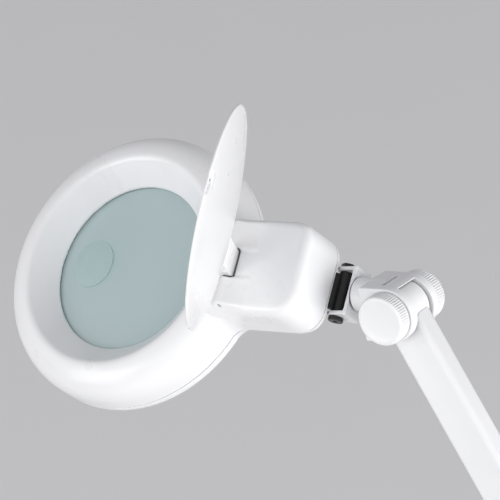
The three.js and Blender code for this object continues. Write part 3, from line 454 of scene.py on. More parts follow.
class Shader:
    """A node material with one Principled surface, and short calls to build the nodes that feed it."""

    def __init__(self, name, **values):
        self.material = bpy.data.materials.new(name)
        self.material.use_nodes = True
        self.nodes = self.material.node_tree.nodes
        self.links = self.material.node_tree.links
        self.surface = self.nodes["Principled BSDF"]
        self.output = self.nodes["Material Output"]
        for key, value in values.items():
            self.surface.inputs[key.replace("_", " ")].default_value = value
        self.place = self.nodes.new("ShaderNodeTexCoord").outputs["Object"]
        looks[name] = self.material

    def node(self, kind, inputs=(), **settings):
        node = self.nodes.new("ShaderNode" + kind)
        for key, value in settings.items():
            setattr(node, key, value)
        for key, value in dict(inputs).items():
            if isinstance(value, bpy.types.NodeSocket):
                self.links.new(value, node.inputs[key])
            else:
                node.inputs[key].default_value = value
        return node

    def noise(self, scale, detail=3.0, stretch=None):
        place = self.place
        if stretch:
            place = self.node("Mapping", {"Vector": place, "Scale": stretch}).outputs[0]
        inputs = {"Vector": place, "Scale": scale, "Detail": detail, "Roughness": 0.55}
        return self.node("TexNoise", inputs).outputs[0]

    def spread(self, value, low, high, start=0.3, end=0.7):
        """Maps a noise from start..end to low..high."""
        inputs = {"Value": value, "From Min": start, "From Max": end, "To Min": low, "To Max": high}
        return self.node("MapRange", inputs).outputs[0]

    def tinted(self, factor, first, second):
        inputs = {"Factor": factor, 6: first, 7: second}
        return self.node("Mix", inputs, data_type="RGBA").outputs[2]

    def feed(self, key, socket):
        self.links.new(socket, self.surface.inputs[key])

    def bump(self, height, distance, strength):
        inputs = {"Height": height, "Distance": distance, "Strength": strength}
        self.feed("Normal", self.node("Bump", inputs).outputs[0])

    def edge_wear(self, radius=0.0004):
        """1 on convex edges and 0 on flat ground."""
        soft = self.node("Bevel", {"Radius": radius}, samples=4).outputs[0]
        plain = self.node("NewGeometry").outputs["Normal"]
        flat = self.node("VectorMath", {0: soft, 1: plain}, operation="DOT_PRODUCT").outputs["Value"]
        return self.spread(flat, 1.0, 0.0, 0.80, 0.97)

    def shaded_gaps(self, unshaded_colour):
        """The unshaded colour, with painted shade going dark where narrow gaps and grooves shut out the light."""
        node = self.node("AmbientOcclusion", {"Distance": 0.0025}, samples=6)
        # Painted shade: ambient occlusion turns the colour dark in narrow gaps and grooves.
        return self.tinted(self.spread(node.outputs["AO"], 0, 1, 0.12, 0.5), grey(0.03), unshaded_colour)


def grey(value, warm=0.0, cool=0.0):
    return (value + warm, value + 0.3 * (warm + cool), value + cool, 1.0)


def white_plastic():
    """Glossy moulded plastic: almost even, with the faintest flow clouding."""
    s = Shader("white_plastic", IOR=1.5, Specular_IOR_Level=0.5, Coat_Weight=0.35, Coat_Roughness=0.1)
    cloud = s.spread(s.noise(9, 2), 0, 1, 0.0, 1.0)
    # The base colour carries painted shade in narrow gaps and grooves.
    s.feed("Base Color", s.shaded_gaps(s.tinted(cloud, (0.870, 0.874, 0.888, 1), (0.890, 0.890, 0.895, 1))))
    s.feed("Roughness", s.spread(s.noise(30, 2), 0.26, 0.30, 0.0, 1.0))


def white_paint():
    """Powder coat: bright white with a shallow orange peel."""
    s = Shader("white_paint", IOR=1.5, Coat_Weight=0.25, Coat_Roughness=0.12)
    cloud = s.spread(s.noise(25, 3), 0, 1, 0.0, 1.0)
    # The base colour carries painted shade in narrow gaps and grooves.
    s.feed("Base Color", s.shaded_gaps(s.tinted(cloud, (0.84, 0.845, 0.86, 1), (0.88, 0.88, 0.885, 1))))
    s.feed("Roughness", s.spread(s.noise(90, 4), 0.28, 0.36, 0.0, 1.0))
    s.bump(s.noise(900, 2), 0.00002, 0.3)


def inner_plastic():
    s = Shader("inner_plastic", IOR=1.5)
    s.feed("Base Color", s.tinted(s.spread(s.noise(30), 0, 1), grey(0.70, cool=0.01), grey(0.76)))
    s.feed("Roughness", s.spread(s.noise(300, 4), 0.42, 0.58))
    s.bump(s.noise(1800, 3), 0.00003, 0.5)


def black_plastic():
    """Spark-textured black plastic, a little greyer where handled."""
    s = Shader("black_plastic", IOR=1.5)
    worn = s.tinted(s.edge_wear(), grey(0.012), grey(0.06))
    s.feed("Base Color", worn)
    s.feed("Roughness", s.spread(s.noise(160, 4), 0.34, 0.5))
    s.bump(s.noise(2400, 3), 0.00004, 0.6)


def steel():
    """Bright zinc plate, finely brushed, with cloudy passivation."""
    s = Shader("steel", Metallic=1.0, Anisotropic=0.3)
    cloud = s.noise(120, 4)
    s.feed("Base Color", s.tinted(s.spread(cloud, 0, 1), (0.55, 0.56, 0.58, 1), (0.70, 0.70, 0.69, 1)))
    brushed = s.noise(500, 3, (1, 14, 1))
    s.feed("Roughness", s.spread(brushed, 0.2, 0.42))
    s.bump(brushed, 0.00002, 0.4)


def black_steel():
    s = Shader("black_steel", IOR=1.5, Coat_Weight=0.2)
    s.feed("Base Color", s.tinted(s.edge_wear(0.0003), grey(0.008), grey(0.16)))
    s.feed("Roughness", s.spread(s.noise(260, 4), 0.25, 0.42))
    s.bump(s.noise(1500, 3), 0.00002, 0.5)


def rubber():
    s = Shader("rubber", IOR=1.5)
    s.feed("Base Color", s.tinted(s.spread(s.noise(80, 4), 0, 1), grey(0.014), grey(0.032)))
    s.feed("Roughness", s.spread(s.noise(400, 4), 0.7, 0.9))
    s.bump(s.noise(1300, 4), 0.00008, 0.7)


def circuit_board():
    s = Shader("circuit_board", IOR=1.5, Coat_Weight=0.3)
    tracks = s.node("TexWave", {"Vector": s.place, "Scale": 260, "Distortion": 2.0, "Detail": 1.0}).outputs[1]
    s.feed("Base Color", s.tinted(s.spread(tracks, 0, 1), (0.74, 0.78, 0.74, 1), (0.82, 0.85, 0.82, 1)))
    s.feed("Roughness", s.spread(s.noise(200), 0.35, 0.5))
    s.bump(tracks, 0.00003, 0.5)


def phosphor():
    s = Shader("phosphor", IOR=1.45, Coat_Weight=0.5)
    s.feed("Base Color", s.tinted(s.spread(s.noise(900), 0, 1), (0.80, 0.62, 0.12, 1), (0.90, 0.74, 0.24, 1)))
    s.feed("Roughness", s.spread(s.noise(500), 0.3, 0.45))


def friction_washer():
    s = Shader("friction_washer", IOR=1.5)
    fibres = s.noise(900, 5, (1, 1, 5))
    s.feed("Base Color", s.tinted(s.spread(fibres, 0, 1), grey(0.02), grey(0.075, warm=0.015)))
    s.feed("Roughness", s.spread(fibres, 0.75, 0.92))
    s.bump(fibres, 0.00006, 0.7)


def frosted_window():
    """Diffuser sheet: white, translucent, with a fine moulded grain."""
    s = Shader("frosted_window", IOR=1.49, Transmission_Weight=0.35)
    s.feed("Base Color", s.tinted(s.spread(s.noise(40), 0, 1), (0.86, 0.88, 0.87, 1), (0.92, 0.93, 0.92, 1)))
    s.feed("Roughness", s.spread(s.noise(700, 4), 0.45, 0.62))
    s.bump(s.noise(2600, 2), 0.00004, 0.6)


def lens_glass():
    """Polished glass with a blue-green body: clear ahead, deeper in colour towards its edges."""
    s = Shader("lens_glass")
    tree = s.material.node_tree
    facing = s.node("LayerWeight", {"Blend": 0.35}).outputs["Facing"]
    body = s.tinted(s.spread(facing, 0, 1, 0.15, 0.9), (0.86, 0.95, 0.95, 1), (0.50, 0.70, 0.69, 1))
    smudge = s.spread(s.noise(35, 5), 0.0, 0.035)
    glass = s.node("BsdfGlass", {"Color": body, "Roughness": smudge, "IOR": 1.5}).outputs[0]
    haze = s.node("BsdfDiffuse", {"Color": (0.55, 0.62, 0.625, 1)}).outputs[0]
    bodied = s.node("MixShader", {0: 0.5, 1: glass, 2: haze}).outputs[0]
    through = s.node("BsdfTransparent", {"Color": (0.78, 0.90, 0.90, 1)}).outputs[0]
    path = s.node("LightPath")
    rays = {0: path.outputs["Is Shadow Ray"], 1: path.outputs["Is Diffuse Ray"]}
    indirect = s.node("Math", rays, operation="MAXIMUM")
    whole = s.node("MixShader", {0: indirect.outputs[0], 1: bodied, 2: through}).outputs[0]
    tree.links.new(whole, s.output.inputs["Surface"])


def floor_paint():
    s = Shader("floor_paint", Specular_IOR_Level=0.2)
    cloud = s.spread(s.noise(1.5, 3), 0, 1)
    s.feed("Base Color", s.tinted(cloud, (0.900, 0.896, 0.892, 1), (0.910, 0.908, 0.902, 1)))
    s.feed("Roughness", s.spread(s.noise(6, 3), 0.8, 0.9))


for make in (
    white_plastic, white_paint, inner_plastic, black_plastic, steel, black_steel, rubber, circuit_board,
    phosphor, friction_washer, frosted_window, lens_glass, floor_paint,
):
    make()

slot_of = {part["node"]: part["material_slot"] for part in frame["record"]["subparts"]}
for node_name, node_object in frame["nodes"].items():
    node_object.data.materials.clear()
    node_object.data.materials.append(looks[slot_of[node_name]])


# ---- Head ----
def ring_skin():
    points = [(APERTURE_R, -2), (APERTURE_R, -0.4), (APERTURE_R + 0.4, 0.4), (FUNNEL_R, FUNNEL_TOP)]
    points += curve((FUNNEL_R, FUNNEL_TOP), (FUNNEL_R + 2, FUNNEL_TOP + 2), (RIM_R, RIM_TOP), 8)
    points += curve((RIM_R, RIM_TOP), (HEAD_R, SHOULDER_PULL), (HEAD_R, SIDE_TOP), 24)
    points += [(HEAD_R, SIDE_FOOT)]
    points += curve((HEAD_R, SIDE_FOOT), (HEAD_R, HEAD_BOTTOM), (HEAD_R - FOOT_ROUND, HEAD_BOTTOM), 10)
    return points + [(APERTURE_R, HEAD_BOTTOM)]


def ring_hollow():
    inside, floor_end, ceiling = HEAD_R - WALL, HEAD_R - WALL - FOOT_ROUND + 2, HEAD_BOTTOM + WALL
    points = [(APERTURE_R - 1, HEAD_BOTTOM - 5), (WINDOW_R, HEAD_BOTTOM - 5), (WINDOW_R, ceiling)]
    points += [(floor_end, ceiling)]
    points += curve((floor_end, ceiling), (inside, ceiling), (inside, SIDE_FOOT), 8)
    points += [(inside, SIDE_TOP)]
    points += curve((inside, SIDE_TOP), (inside, SHOULDER_PULL - WALL), (RIM_R, RIM_TOP - WALL), 20)
    points += [(FUNNEL_R + 2, FUNNEL_TOP - 1.5), (LENS_SEAT, LENS_SEAT - APERTURE_R - WALL), (LENS_SEAT, -2)]
    return points + [(APERTURE_R - 1, -2)]


def neck(x, y, z, inset=0.0):
    half, end = NECK_HALF - inset, NECK_END - inset
    round_section = NECK_ROUND - inset
    section = rectangle(y, z, (-half, NECK_BOTTOM + inset), (half, NECK_TOP - inset), round_section)
    plan = rectangle(x, y, (NECK_START - 40, -half), (end, half), NECK_CORNER - inset)
    body = keep(section, plan, REAR_ROUND - inset)
    return keep(body, NECK_START - x, 6.0)


def lug_outline():
    points = [(HINGE_X + LUG_RAMP, NECK_TOP - 3), (HINGE_X - HINGE_R, NECK_TOP - 3)]
    for turn in np.linspace(180, 45, 16):
        angle = math.radians(turn)
        points.append((HINGE_X + HINGE_R * math.cos(angle), HINGE_Z + HINGE_R * math.sin(angle)))
    return points + [(HINGE_X + LUG_RAMP, NECK_TOP - 0.6)]


skin_profile, hollow_profile = Turned(ring_skin()), Turned(ring_hollow())


def head_shell(x, y, z):
    rising = np.clip((15 - z) / 16, 0, 1)
    outer = join(skin_profile(x, y, z), neck(x, y, z), 0.8 + 8 * rising * rising * (3 - 2 * rising))
    lugs = between(outline(x, z, lug_outline()), abs(y), LUG_INNER, LUG_OUTER, 1.2)
    outer = join(outer, lugs, 3.0)
    hollow = np.minimum(hollow_profile(x, y, z), neck(x, y, z, WALL))
    back = HINGE_X + NOTCH_BEHIND
    around_notch = box((x, y, z), (NECK_START, -LUG_INNER - WALL, NOTCH_FLOOR - WALL),
                       (back + WALL, LUG_INNER + WALL, NECK_TOP))
    shell = np.minimum(carve(outer, hollow, 0.3), keep(outer, around_notch))
    shell = bored(shell, x, z, HINGE_PIN_R, (HINGE_X, HINGE_Z))
    notch = box((x, y, z), (NECK_START - 4, -LUG_INNER, NOTCH_FLOOR), (back, LUG_INNER, 60), 1.0)
    shell = carve(shell, notch, 0.5)
    room_half = BAR_HALF + GAP
    bar_room = box((x, y, z), (NOD_X - ROOM_FRONT, -room_half, NOD_Z - ROOM_BELOW),
                   (NOD_X + ROOM_BACK, room_half, NOD_Z + ROOM_ABOVE), 2.0)
    return carve(shell, bar_room, 0.6)


def around_ring(angle, radius):
    return radius * math.cos(math.radians(angle)), radius * math.sin(math.radians(angle))


def top_shell(x, y, z):
    return keep(head_shell(x, y, z), PARTING - z, 0.3)


def bottom_shell(x, y, z):
    shell = keep(head_shell(x, y, z), z - (PARTING - GAP), 0.3)
    for angle in SHELL_SCREWS:
        spot = around_ring(angle, SHELL_SCREW_RING)
        post = between(disc(x, y, SHELL_BOSS_R, spot), z, HEAD_BOTTOM, PARTING - GAP)
        shell = join(shell, keep(post, skin_profile(x, y, z), 0.3), 1.0)
        well = between(disc(x, y, SCREW_CAP_R + 0.4, spot), z, HEAD_BOTTOM - 4, HEAD_BOTTOM + 5)
        shell = carve(shell, well, 0.4)
    half_long, half_wide = BUTTON_LONG + BUTTON_ROOM, BUTTON_WIDE + BUTTON_ROOM
    button = box((x, y, z), (BUTTON_X - half_long, -half_wide, NECK_BOTTOM - 4),
                 (BUTTON_X + half_long, half_wide, NECK_FLOOR + 0.7), 1.5)
    return carve(shell, button, 0.4)


SHELL_STEP = 0.8
solid("head_top_shell_look", top_shell, (-102, -102, PARTING - 1), (NECK_END + 1, 102, 30), SHELL_STEP,
      HEAD, "head", "white_plastic")
solid("head_bottom_shell_look", bottom_shell, (-102, -102, HEAD_BOTTOM - 1), (NECK_END + 1, 102, PARTING),
      SHELL_STEP, HEAD, "head", "white_plastic")
LENS_SPHERE = (LENS_R**2 + LENS_SAG**2) / (2 * LENS_SAG)


def main_lens():
    radii = np.linspace(0, LENS_R - 0.5, 28)
    bulge = LENS_SAG - LENS_SPHERE + np.sqrt(LENS_SPHERE**2 - radii**2)
    upper = [(r, LENS_TOP + b) for r, b in zip(radii, bulge)]
    lower = [(r, LENS_TOP - LENS_EDGE - b) for r, b in zip(radii, bulge)]
    edge = [(LENS_R, LENS_TOP - LENS_EDGE + 0.4), (LENS_R, LENS_TOP - 0.4)]
    return lathe(lower + edge + upper[::-1], 160)


def inset_lens():
    slope = math.asin(INSET_X / LENS_SPHERE)
    dome = [(0, 0.15), (INSET_R, 0.15), (INSET_R, 0.9, 0.3), (INSET_R * 0.6, 1.75, 14), (0, 2.3)]
    foot = LENS_TOP + LENS_SAG * (1 - (INSET_X / LENS_R) ** 2) + 0.12
    tilted = Matrix.Translation((INSET_X, 0, foot)) @ Matrix.Rotation(slope, 4, "Y")
    return moved(lathe(rounded(dome, False, 10)), tilted)


show("magnifier_lens_look", main_lens(), HEAD, "head", "lens_glass", crease=60)
show("inset_lens_look", inset_lens(), HEAD, "head", "lens_glass", crease=60)

LIP = LENS_UNDER - GASKET_LIP
gasket = [
    (LENS_R + GAP, -2 - GAP, 0.3), (LENS_R + 3.4, -2 - GAP, 0.3), (LENS_R + 3.4, LIP, 0.3),
    (LENS_R - 1.5, LIP, 0.3), (LENS_R - 1.5, LENS_UNDER - GAP, 0.3), (LENS_R + GAP, LENS_UNDER - GAP),
]
show("lens_gasket_look", lathe(rounded(gasket)[::-1], 160), HEAD, "head", "rubber")
RETAINER_TOP = LIP - GAP
RETAINER_LOW = RETAINER_TOP - RETAINER_THICK
retainer = tube_between(APERTURE_R - 1, LENS_SEAT - 0.5, RETAINER_LOW, RETAINER_TOP, 0.4, 160)
show("lens_retainer_look", retainer, HEAD, "head", "inner_plastic")
TRAY_TOP = RETAINER_LOW - GAP
SHELF_LOW, SHELF_R = TRAY_Z - SHELF_THICK, WINDOW_R + 2
tray = [
    (TRAY_INNER, HEAD_BOTTOM + 2, 0.4), (TRAY_STEM, HEAD_BOTTOM + 2, 0.4), (TRAY_STEM, SHELF_LOW),
    (SHELF_R, SHELF_LOW, 0.4), (SHELF_R, TRAY_Z, 0.4), (TRAY_STEM, TRAY_Z, 0.5), (TRAY_STEM, TRAY_TOP, 0.3),
    (TRAY_INNER, TRAY_TOP, 0.3),
]
show("led_tray_look", lathe(rounded(tray), 160), HEAD, "head", "inner_plastic")
BOARD_TOP = SHELF_LOW - GAP
board = tube_between(BOARD_INNER, WINDOW_R + 1.5, BOARD_TOP - BOARD_THICK, BOARD_TOP, 0.2, 160)
show("led_board_look", board, HEAD, "head", "circuit_board")
WINDOW_LOW = HEAD_BOTTOM + WALL + GAP
window = tube_between(WINDOW_INNER, WINDOW_R + 2.2, WINDOW_LOW, WINDOW_LOW + WINDOW_THICK, 0.4, 160)
show("light_window_look", window, HEAD, "head", "frosted_window")


def light_emitters():
    low, high = (-LED_LONG, -LED_WIDE, -LED_TALL), (LED_LONG, LED_WIDE, 0)
    body = surfaced(lambda x, y, z: box((x, y, z), low, high, 0.3), low, high, 0.3)
    under = BOARD_TOP - BOARD_THICK - 0.02
    turns = [Matrix.Rotation(2 * math.pi * i / LED_COUNT, 4, "Z") for i in range(LED_COUNT)]
    place = Matrix.Translation((LED_RING, 0, under))
    points = np.concatenate([moved(body, turn @ place)[0] for turn in turns])
    faces = np.concatenate([body[1] + i * len(body[0]) for i in range(LED_COUNT)])
    return points, faces


show("led_emitters_look", light_emitters(), HEAD, "head", "phosphor", nodes=["led_board"])


def screw_shape(head_r, head_low, head_high, shank_r, shank_high):
    """A cross-slotted screw seen from below, its head at the bottom."""

    def distance(x, y, z):
        cap = between(disc(x, y, head_r), z, head_low, head_high + 3, 0.5)
        cap = keep(cap, z - head_high, 0.2)
        shank = between(disc(x, y, shank_r), z, head_high - 1, shank_high, 0.2)
        cross = np.minimum(*[np.maximum(abs(u) - 0.35, abs(v) - 1.5) for u, v in ((x, y), (y, x))])
        return carve(np.minimum(cap, shank), np.maximum(cross, z - head_low - 0.9), 0.1)

    return surfaced(distance, (-head_r, -head_r, head_low), (head_r, head_r, shank_high), 0.2)


shell_screw = screw_shape(SCREW_CAP_R, HEAD_BOTTOM + 2.9, HEAD_BOTTOM + 4.9, SCREW_SHANK_R, PARTING + 9)
for i, angle in enumerate(SHELL_SCREWS):
    spot = Matrix.Translation((*around_ring(angle, SHELL_SCREW_RING), 0))
    show(f"shell_screw_{i + 1}_look", moved(shell_screw, spot), HEAD, "head", "steel")
neck_screw = screw_shape(NECK_CAP_R, NECK_BOTTOM - 1.5, NECK_BOTTOM - 0.1, SCREW_SHANK_R, NECK_BOTTOM + 6.9)
show("neck_screw_look", moved(neck_screw, Matrix.Translation((NECK_SCREW_X, 0, 0))), HEAD, "head", "steel")

hinge_line = Matrix.Translation((HINGE_X, 0, HINGE_Z)) @ FACING_FRONT
hinge_pin = moved(rod(HINGE_PIN_R, -LUG_OUTER, LUG_OUTER, 0.3, 32), hinge_line)
show("cover_hinge_pin_look", hinge_pin, HEAD, "head", "steel")

BUTTON_LOW = NECK_BOTTOM - BUTTON_TRAVEL


def button_distance(x, y, z):
    body = box((x, y, z), (BUTTON_X - BUTTON_LONG, -BUTTON_WIDE, BUTTON_LOW),
               (BUTTON_X + BUTTON_LONG, BUTTON_WIDE, BUTTON_LOW + BUTTON_TALL), 1.2)
    dish = np.sqrt((x - BUTTON_X) ** 2 + 3 * y**2 + (z - BUTTON_LOW + DISH_DROP) ** 2) - DISH_R
    return carve(body, dish, 0.4)


solid("power_button_look", button_distance, (BUTTON_X - 10, -6, BUTTON_LOW),
      (BUTTON_X + 10, 6, BUTTON_LOW + BUTTON_TALL), 0.4, HEAD, "power_button", "inner_plastic", crease=35)


def pivot_distance(x, y, z):
    barrel = between(disc(x, z, BAR_R, (NOD_X, NOD_Z)), y, -BAR_HALF, BAR_HALF, 0.5)
    foot_top = NECK_FLOOR + PIVOT_THICK
    foot = box((x, y, z), (PIVOT_FRONT, -PIVOT_HALF, NECK_FLOOR), (PIVOT_BACK, PIVOT_HALF, foot_top), 0.6)
    slope = math.radians(PIVOT_SLOPE)
    along = (x - NOD_X) * -math.cos(slope) + (z - NOD_Z) * math.sin(slope)
    off = (x - NOD_X) * math.sin(slope) + (z - NOD_Z) * math.cos(slope)
    half = PIVOT_THICK / 2
    web = box((along, off, y), (0, -half, -PIVOT_HALF), (PIVOT_WEB, half, PIVOT_HALF), 0.4)
    whole = join(join(barrel, web, 1.2), foot, 1.0)
    whole = bored(whole, x, z, NOD_BOLT_R, (NOD_X, NOD_Z))
    return bored(whole, x, y, SCREW_SHANK_R, (NECK_SCREW_X, 0), 0.1)


solid("pivot_block_look", pivot_distance, (138, -16, -36), (171, 16, -13), 0.4, HEAD, "head", "black_plastic")


# ---- Dust cover ----
def cover_outline():
    edge = COVER_LOW + COVER_EDGE
    top = edge + COVER_RISE
    points = [(0.0, top)]
    points += curve((0, top), (COVER_R * 0.6, top), (COVER_R - 1.2, edge), 40)
    points += curve(points[-1], (COVER_R, edge - 0.5), (COVER_R, COVER_LOW + 1), 5)
    points += curve(points[-1], (COVER_R, COVER_LOW), (COVER_R - 1.2, COVER_LOW), 5)
    points += [(COVER_R - 3, COVER_LOW)]
    under = top - COVER_WALL
    inner = curve((COVER_R - 3, COVER_LOW), (COVER_R * 0.6, under), (0, under), 40)
    mirrored = [(-r, z) for r, z in (points + inner)[::-1][1:-1]]
    return points + inner + mirrored


cover_profile = Turned(cover_outline())


def cover_distance(x, y, z):
    dome = cover_profile(x + HINGE_X, y, z)
    points = [(-KNUCKLE_REACH, COVER_LOW + 0.5), (0.0, -KNUCKLE_R)]
    for angle in np.linspace(-0.5 * math.pi, 0.5 * math.pi, 20)[1:]:
        points.append((KNUCKLE_R * math.cos(angle), KNUCKLE_R * math.sin(angle)))
    points += [(-KNUCKLE_REACH, COVER_LOW + 3.2)]
    knuckle = between(outline(x, z, points), y, -KNUCKLE_HALF, KNUCKLE_HALF, 0.9)
    whole = join(dome, knuckle, 1.6)
    whole = bored(whole, x, z, HINGE_PIN_R)
    scoop = disc(x, y, SCOOP_R, (-HINGE_X - COVER_R - SCOOP_OUT, 0))
    return carve(whole, between(scoop, z, COVER_LOW + SCOOP_FLOOR, COVER_LOW + 20, 0.5), 0.5)


solid("dust_cover_look", cover_distance, (-HINGE_X - COVER_R - 1, -COVER_R - 1, COVER_LOW - 2),
      (KNUCKLE_R + 1, COVER_R + 1, COVER_LOW + 10), 0.7, COVER, "dust_cover", "white_plastic")


# ---- Yoke ----
def yoke_distance(x, y, z):
    turns = np.linspace(0.5 * math.pi, 1.5 * math.pi, 20)
    cheek = [(CHEEK_END_R * math.cos(turn), CHEEK_END_R * math.sin(turn)) for turn in turns]
    cheek += [(WEB_BACK, -CHEEK_HALF), (WEB_BACK, CHEEK_HALF)]
    cheeks = between(outline(x, z, cheek), abs(y), CHEEK_INNER, CHEEK_OUTER, 0.7)
    far = (WEB_BACK, CHEEK_OUTER, CHEEK_HALF)
    web = box((x, y, z), (WEB_BACK - YOKE_THICK, -CHEEK_OUTER, -CHEEK_HALF), far, 0.7)
    floor_top = YOKE_FLOOR - CHEEK_HALF
    ledge = box((x, y, z), (YOKE_FLOOR_START, -CHEEK_OUTER, -CHEEK_HALF),
                (WEB_BACK, CHEEK_OUTER, floor_top), 0.7)
    whole = join(join(cheeks, web, 1.5), ledge, 1.5)
    whole = bored(whole, x, z, NOD_BOLT_R)
    return carve(whole, np.maximum(disc(y, z, AXLE_R + BORE_GAP), 8 - x), 0.2)


solid("yoke_look", yoke_distance, (-8, -CHEEK_OUTER - 1, -CHEEK_HALF),
      (WEB_BACK, CHEEK_OUTER + 1, CHEEK_HALF), 0.4, YOKE, "yoke", "white_paint")


def socket_head(radius, low, high, socket):
    """A round bolt head with a hexagonal socket that opens towards +Z."""

    def distance(x, y, z):
        cap = between(disc(x, y, radius), z, low, high, 0.9)
        return carve(cap, np.maximum(hexagon(x, y, socket), low + 1.1 - z), 0.15)

    return surfaced(distance, (-radius, -radius, low), (radius, radius, high), 0.3)


def nut_shape(across, bore, low, high):
    def distance(x, y, z):
        body = between(hexagon(x, y, across), z, low, high, 0.3)
        cone = np.hypot(x, y) + 0.6 * abs(z - (low + high) / 2) - across * 1.1 - 0.3 * (high - low)
        return carve(keep(body, cone, 0.2), disc(x, y, bore), 0.25)

    reach = across * 1.2
    return surfaced(distance, (-reach, -reach, low), (reach, reach, high), 0.3)


bolt_end = CHEEK_OUTER + 0.2
bolt_top = bolt_end + BOLT_HEAD_TALL
nod_bolt_rod = moved(rod(NOD_BOLT_R, -bolt_end - 1, bolt_top + 0.8, 0.4, 32), FACING_REAR)
bolt_cap = moved(socket_head(BOLT_HEAD_R, bolt_end, bolt_top, 1.7), FACING_FRONT)
show("nod_bolt_look", bolt_cap, YOKE, "yoke", "black_steel")
show("nod_bolt_shank_look", nod_bolt_rod, YOKE, "yoke", "black_steel", nodes=["nod_bolt"])
nut = moved(nut_shape(BOLT_NUT_HALF, NOD_BOLT_R + 0.1, bolt_end, bolt_top), FACING_REAR)
show("nod_nut_look", nut, YOKE, "yoke", "black_steel")
web_front, nut_middle = WEB_BACK - YOKE_THICK, WEB_BACK + ROLL_NUT_AT
nut_low, nut_high = nut_middle - ROLL_NUT_TALL / 2, nut_middle + ROLL_NUT_TALL / 2
roll_rod = moved(rod(AXLE_R, web_front - 1, nut_high - 0.2, 0.4, 48), FACING_ARM)
roll_cap = socket_head(ROLL_HEAD_R, 0.2 - web_front, 0.2 - web_front + ROLL_HEAD_TALL, 2.5)
show("roll_bolt_look", moved(roll_cap, Matrix.Rotation(math.radians(-90), 4, "Y")), YOKE, "yoke", "steel")
show("roll_bolt_shank_look", roll_rod, YOKE, "yoke", "steel", nodes=["roll_bolt"])
washer = tube_between(AXLE_R + 0.2, ROLL_WASHER_R, WEB_BACK + 0.15, WEB_BACK + 0.15 + WASHER_THICK, 0.2)
show("roll_washer_look", moved(washer, FACING_ARM), YOKE, "yoke", "friction_washer")
roll_nut = nut_shape(ROLL_NUT_HALF, AXLE_R + 0.1, nut_low, nut_high)
show("roll_nut_look", moved(roll_nut, FACING_ARM), YOKE, "yoke", "steel")


# ---- Fork joints ----
def fork_body(x, y, z, length):
    side = np.minimum(disc(x, z, EAR_R), rectangle(x, z, (-length, -EAR_R), (0, EAR_R), 1.5))
    return between(side, y, -EAR_OUTER, EAR_OUTER, 1.2)


def open_slot(x, y, z):
    """Room between a fork's ears for the barrel and its arm."""
    round_part = disc(x, z, SLOT_R)
    swing = np.maximum(-SLOT_R - x, abs(z) - 40)
    return np.maximum(np.minimum(round_part, swing), abs(y) - EAR_INNER)


def knob(facing):
    """A round knob with straight ridges, facing away from its joint."""
    top, start = KNOB_LENGTH, EAR_OUTER + GAP
    grip_low, grip_high = 1.0, top - 2.4
    body = rounded([(0, 0.0), (KNOB_R, 0, 0.7), (KNOB_R, grip_low)], closed=False, steps=4)
    body += [(KNOB_R, level) for level in np.linspace(grip_low, grip_high, 9)[1:]]
    body += rounded([(KNOB_R, grip_high), (KNOB_R, top, 2.3), (KNOB_R - 3.2, top)], closed=False, steps=8)[1:]
    body += [(KNOB_R - 3.4, top), (KNOB_R - 4.0, top - 0.12), (KNOB_R - 8, top - 0.3), (0, top - 0.4)]

    def ridges(i, angles):
        radius, height = body[1:-1][i]
        if radius < KNOB_R - 1.2:
            return 0 * angles
        fade = np.clip((height - 0.6) / 0.8, 0, 1) * np.clip((top - 0.9 - height) / 1.0, 0, 1)
        wave = np.tanh(2.2 * np.sin(KNOB_RIDGES * angles)) / np.tanh(2.2)
        return fade * KNOB_GRIP * (0.9 * wave - 0.6)

    shape = lathe(body, KNOB_RIDGES * 8, ridges)
    return moved(shape, facing @ Matrix.Translation((0, 0, start)))


def axle_set(place, name, body):
    axle = moved(rod(AXLE_R, -AXLE_HALF, AXLE_HALF, 0.5), FACING_REAR)
    show(f"{name}_axle_look", axle, place, body, "steel")
    low = BARREL_HALF + 0.2
    washer = tube_between(AXLE_R + 0.2, WASHER_R, low, low + WASHER_THICK, 0.2)
    for end, facing in (("front", FACING_FRONT), ("rear", FACING_REAR)):
        show(f"{name}_washer_{end}_look", moved(washer, facing), place, body, "friction_washer")
        turned = f"{name}_knob_{end}"
        show(f"{turned}_look", knob(facing), place, turned, "white_plastic", crease=60)


def block_distance(x, y, z):
    body = fork_body(x, y, z, BLOCK_LENGTH)
    boss_end = WEB_BACK + BOSS_GAP - TILT_BEHIND
    boss = between(disc(y, z, EAR_R - TILT_BELOW, (0, TILT_BELOW)), x, boss_end, boss_end + BOSS_TALL, 0.8)
    whole = join(body, boss, 2.0)
    whole = carve(whole, np.maximum(disc(x, z, SLOT_R), abs(y) - EAR_INNER), 0.4)
    whole = carve(whole, np.maximum(PLATE_EDGE - x, abs(y) - EAR_INNER), 0.4)
    beside_drum = np.maximum(-SLOT_R - x, z - SLOT_R)
    under_plate = np.maximum(x - PLATE_EDGE, abs(y) - EAR_INNER)
    whole = carve(whole, np.maximum(beside_drum, under_plate), 0.4)
    slit = box((x, y, z), (SLIT_START, -SLIT_HALF, SLIT_FLOOR), (SLIT_START + SLIT_WIDTH, SLIT_HALF, 40), 0.3)
    whole = carve(whole, slit, 0.3)
    whole = carve(whole, np.maximum(disc(y, z, AXLE_R + BORE_GAP, (0, TILT_BELOW)), x + 5), 0.2)
    pocket = np.maximum(-BLOCK_LENGTH - x, x + BLOCK_LENGTH - NUT_POCKET_TALL)
    whole = carve(whole, np.maximum(disc(y, z, NUT_POCKET_R, (0, TILT_BELOW)), pocket), 0.2)
    return bored(whole, x, z, AXLE_R)


solid("joint_block_look", block_distance, (-35, -18, -20), (20, 18, 20), 0.5,
      BLOCK, "head_block", "white_paint")
axle_set(BLOCK, "head", "head_block")


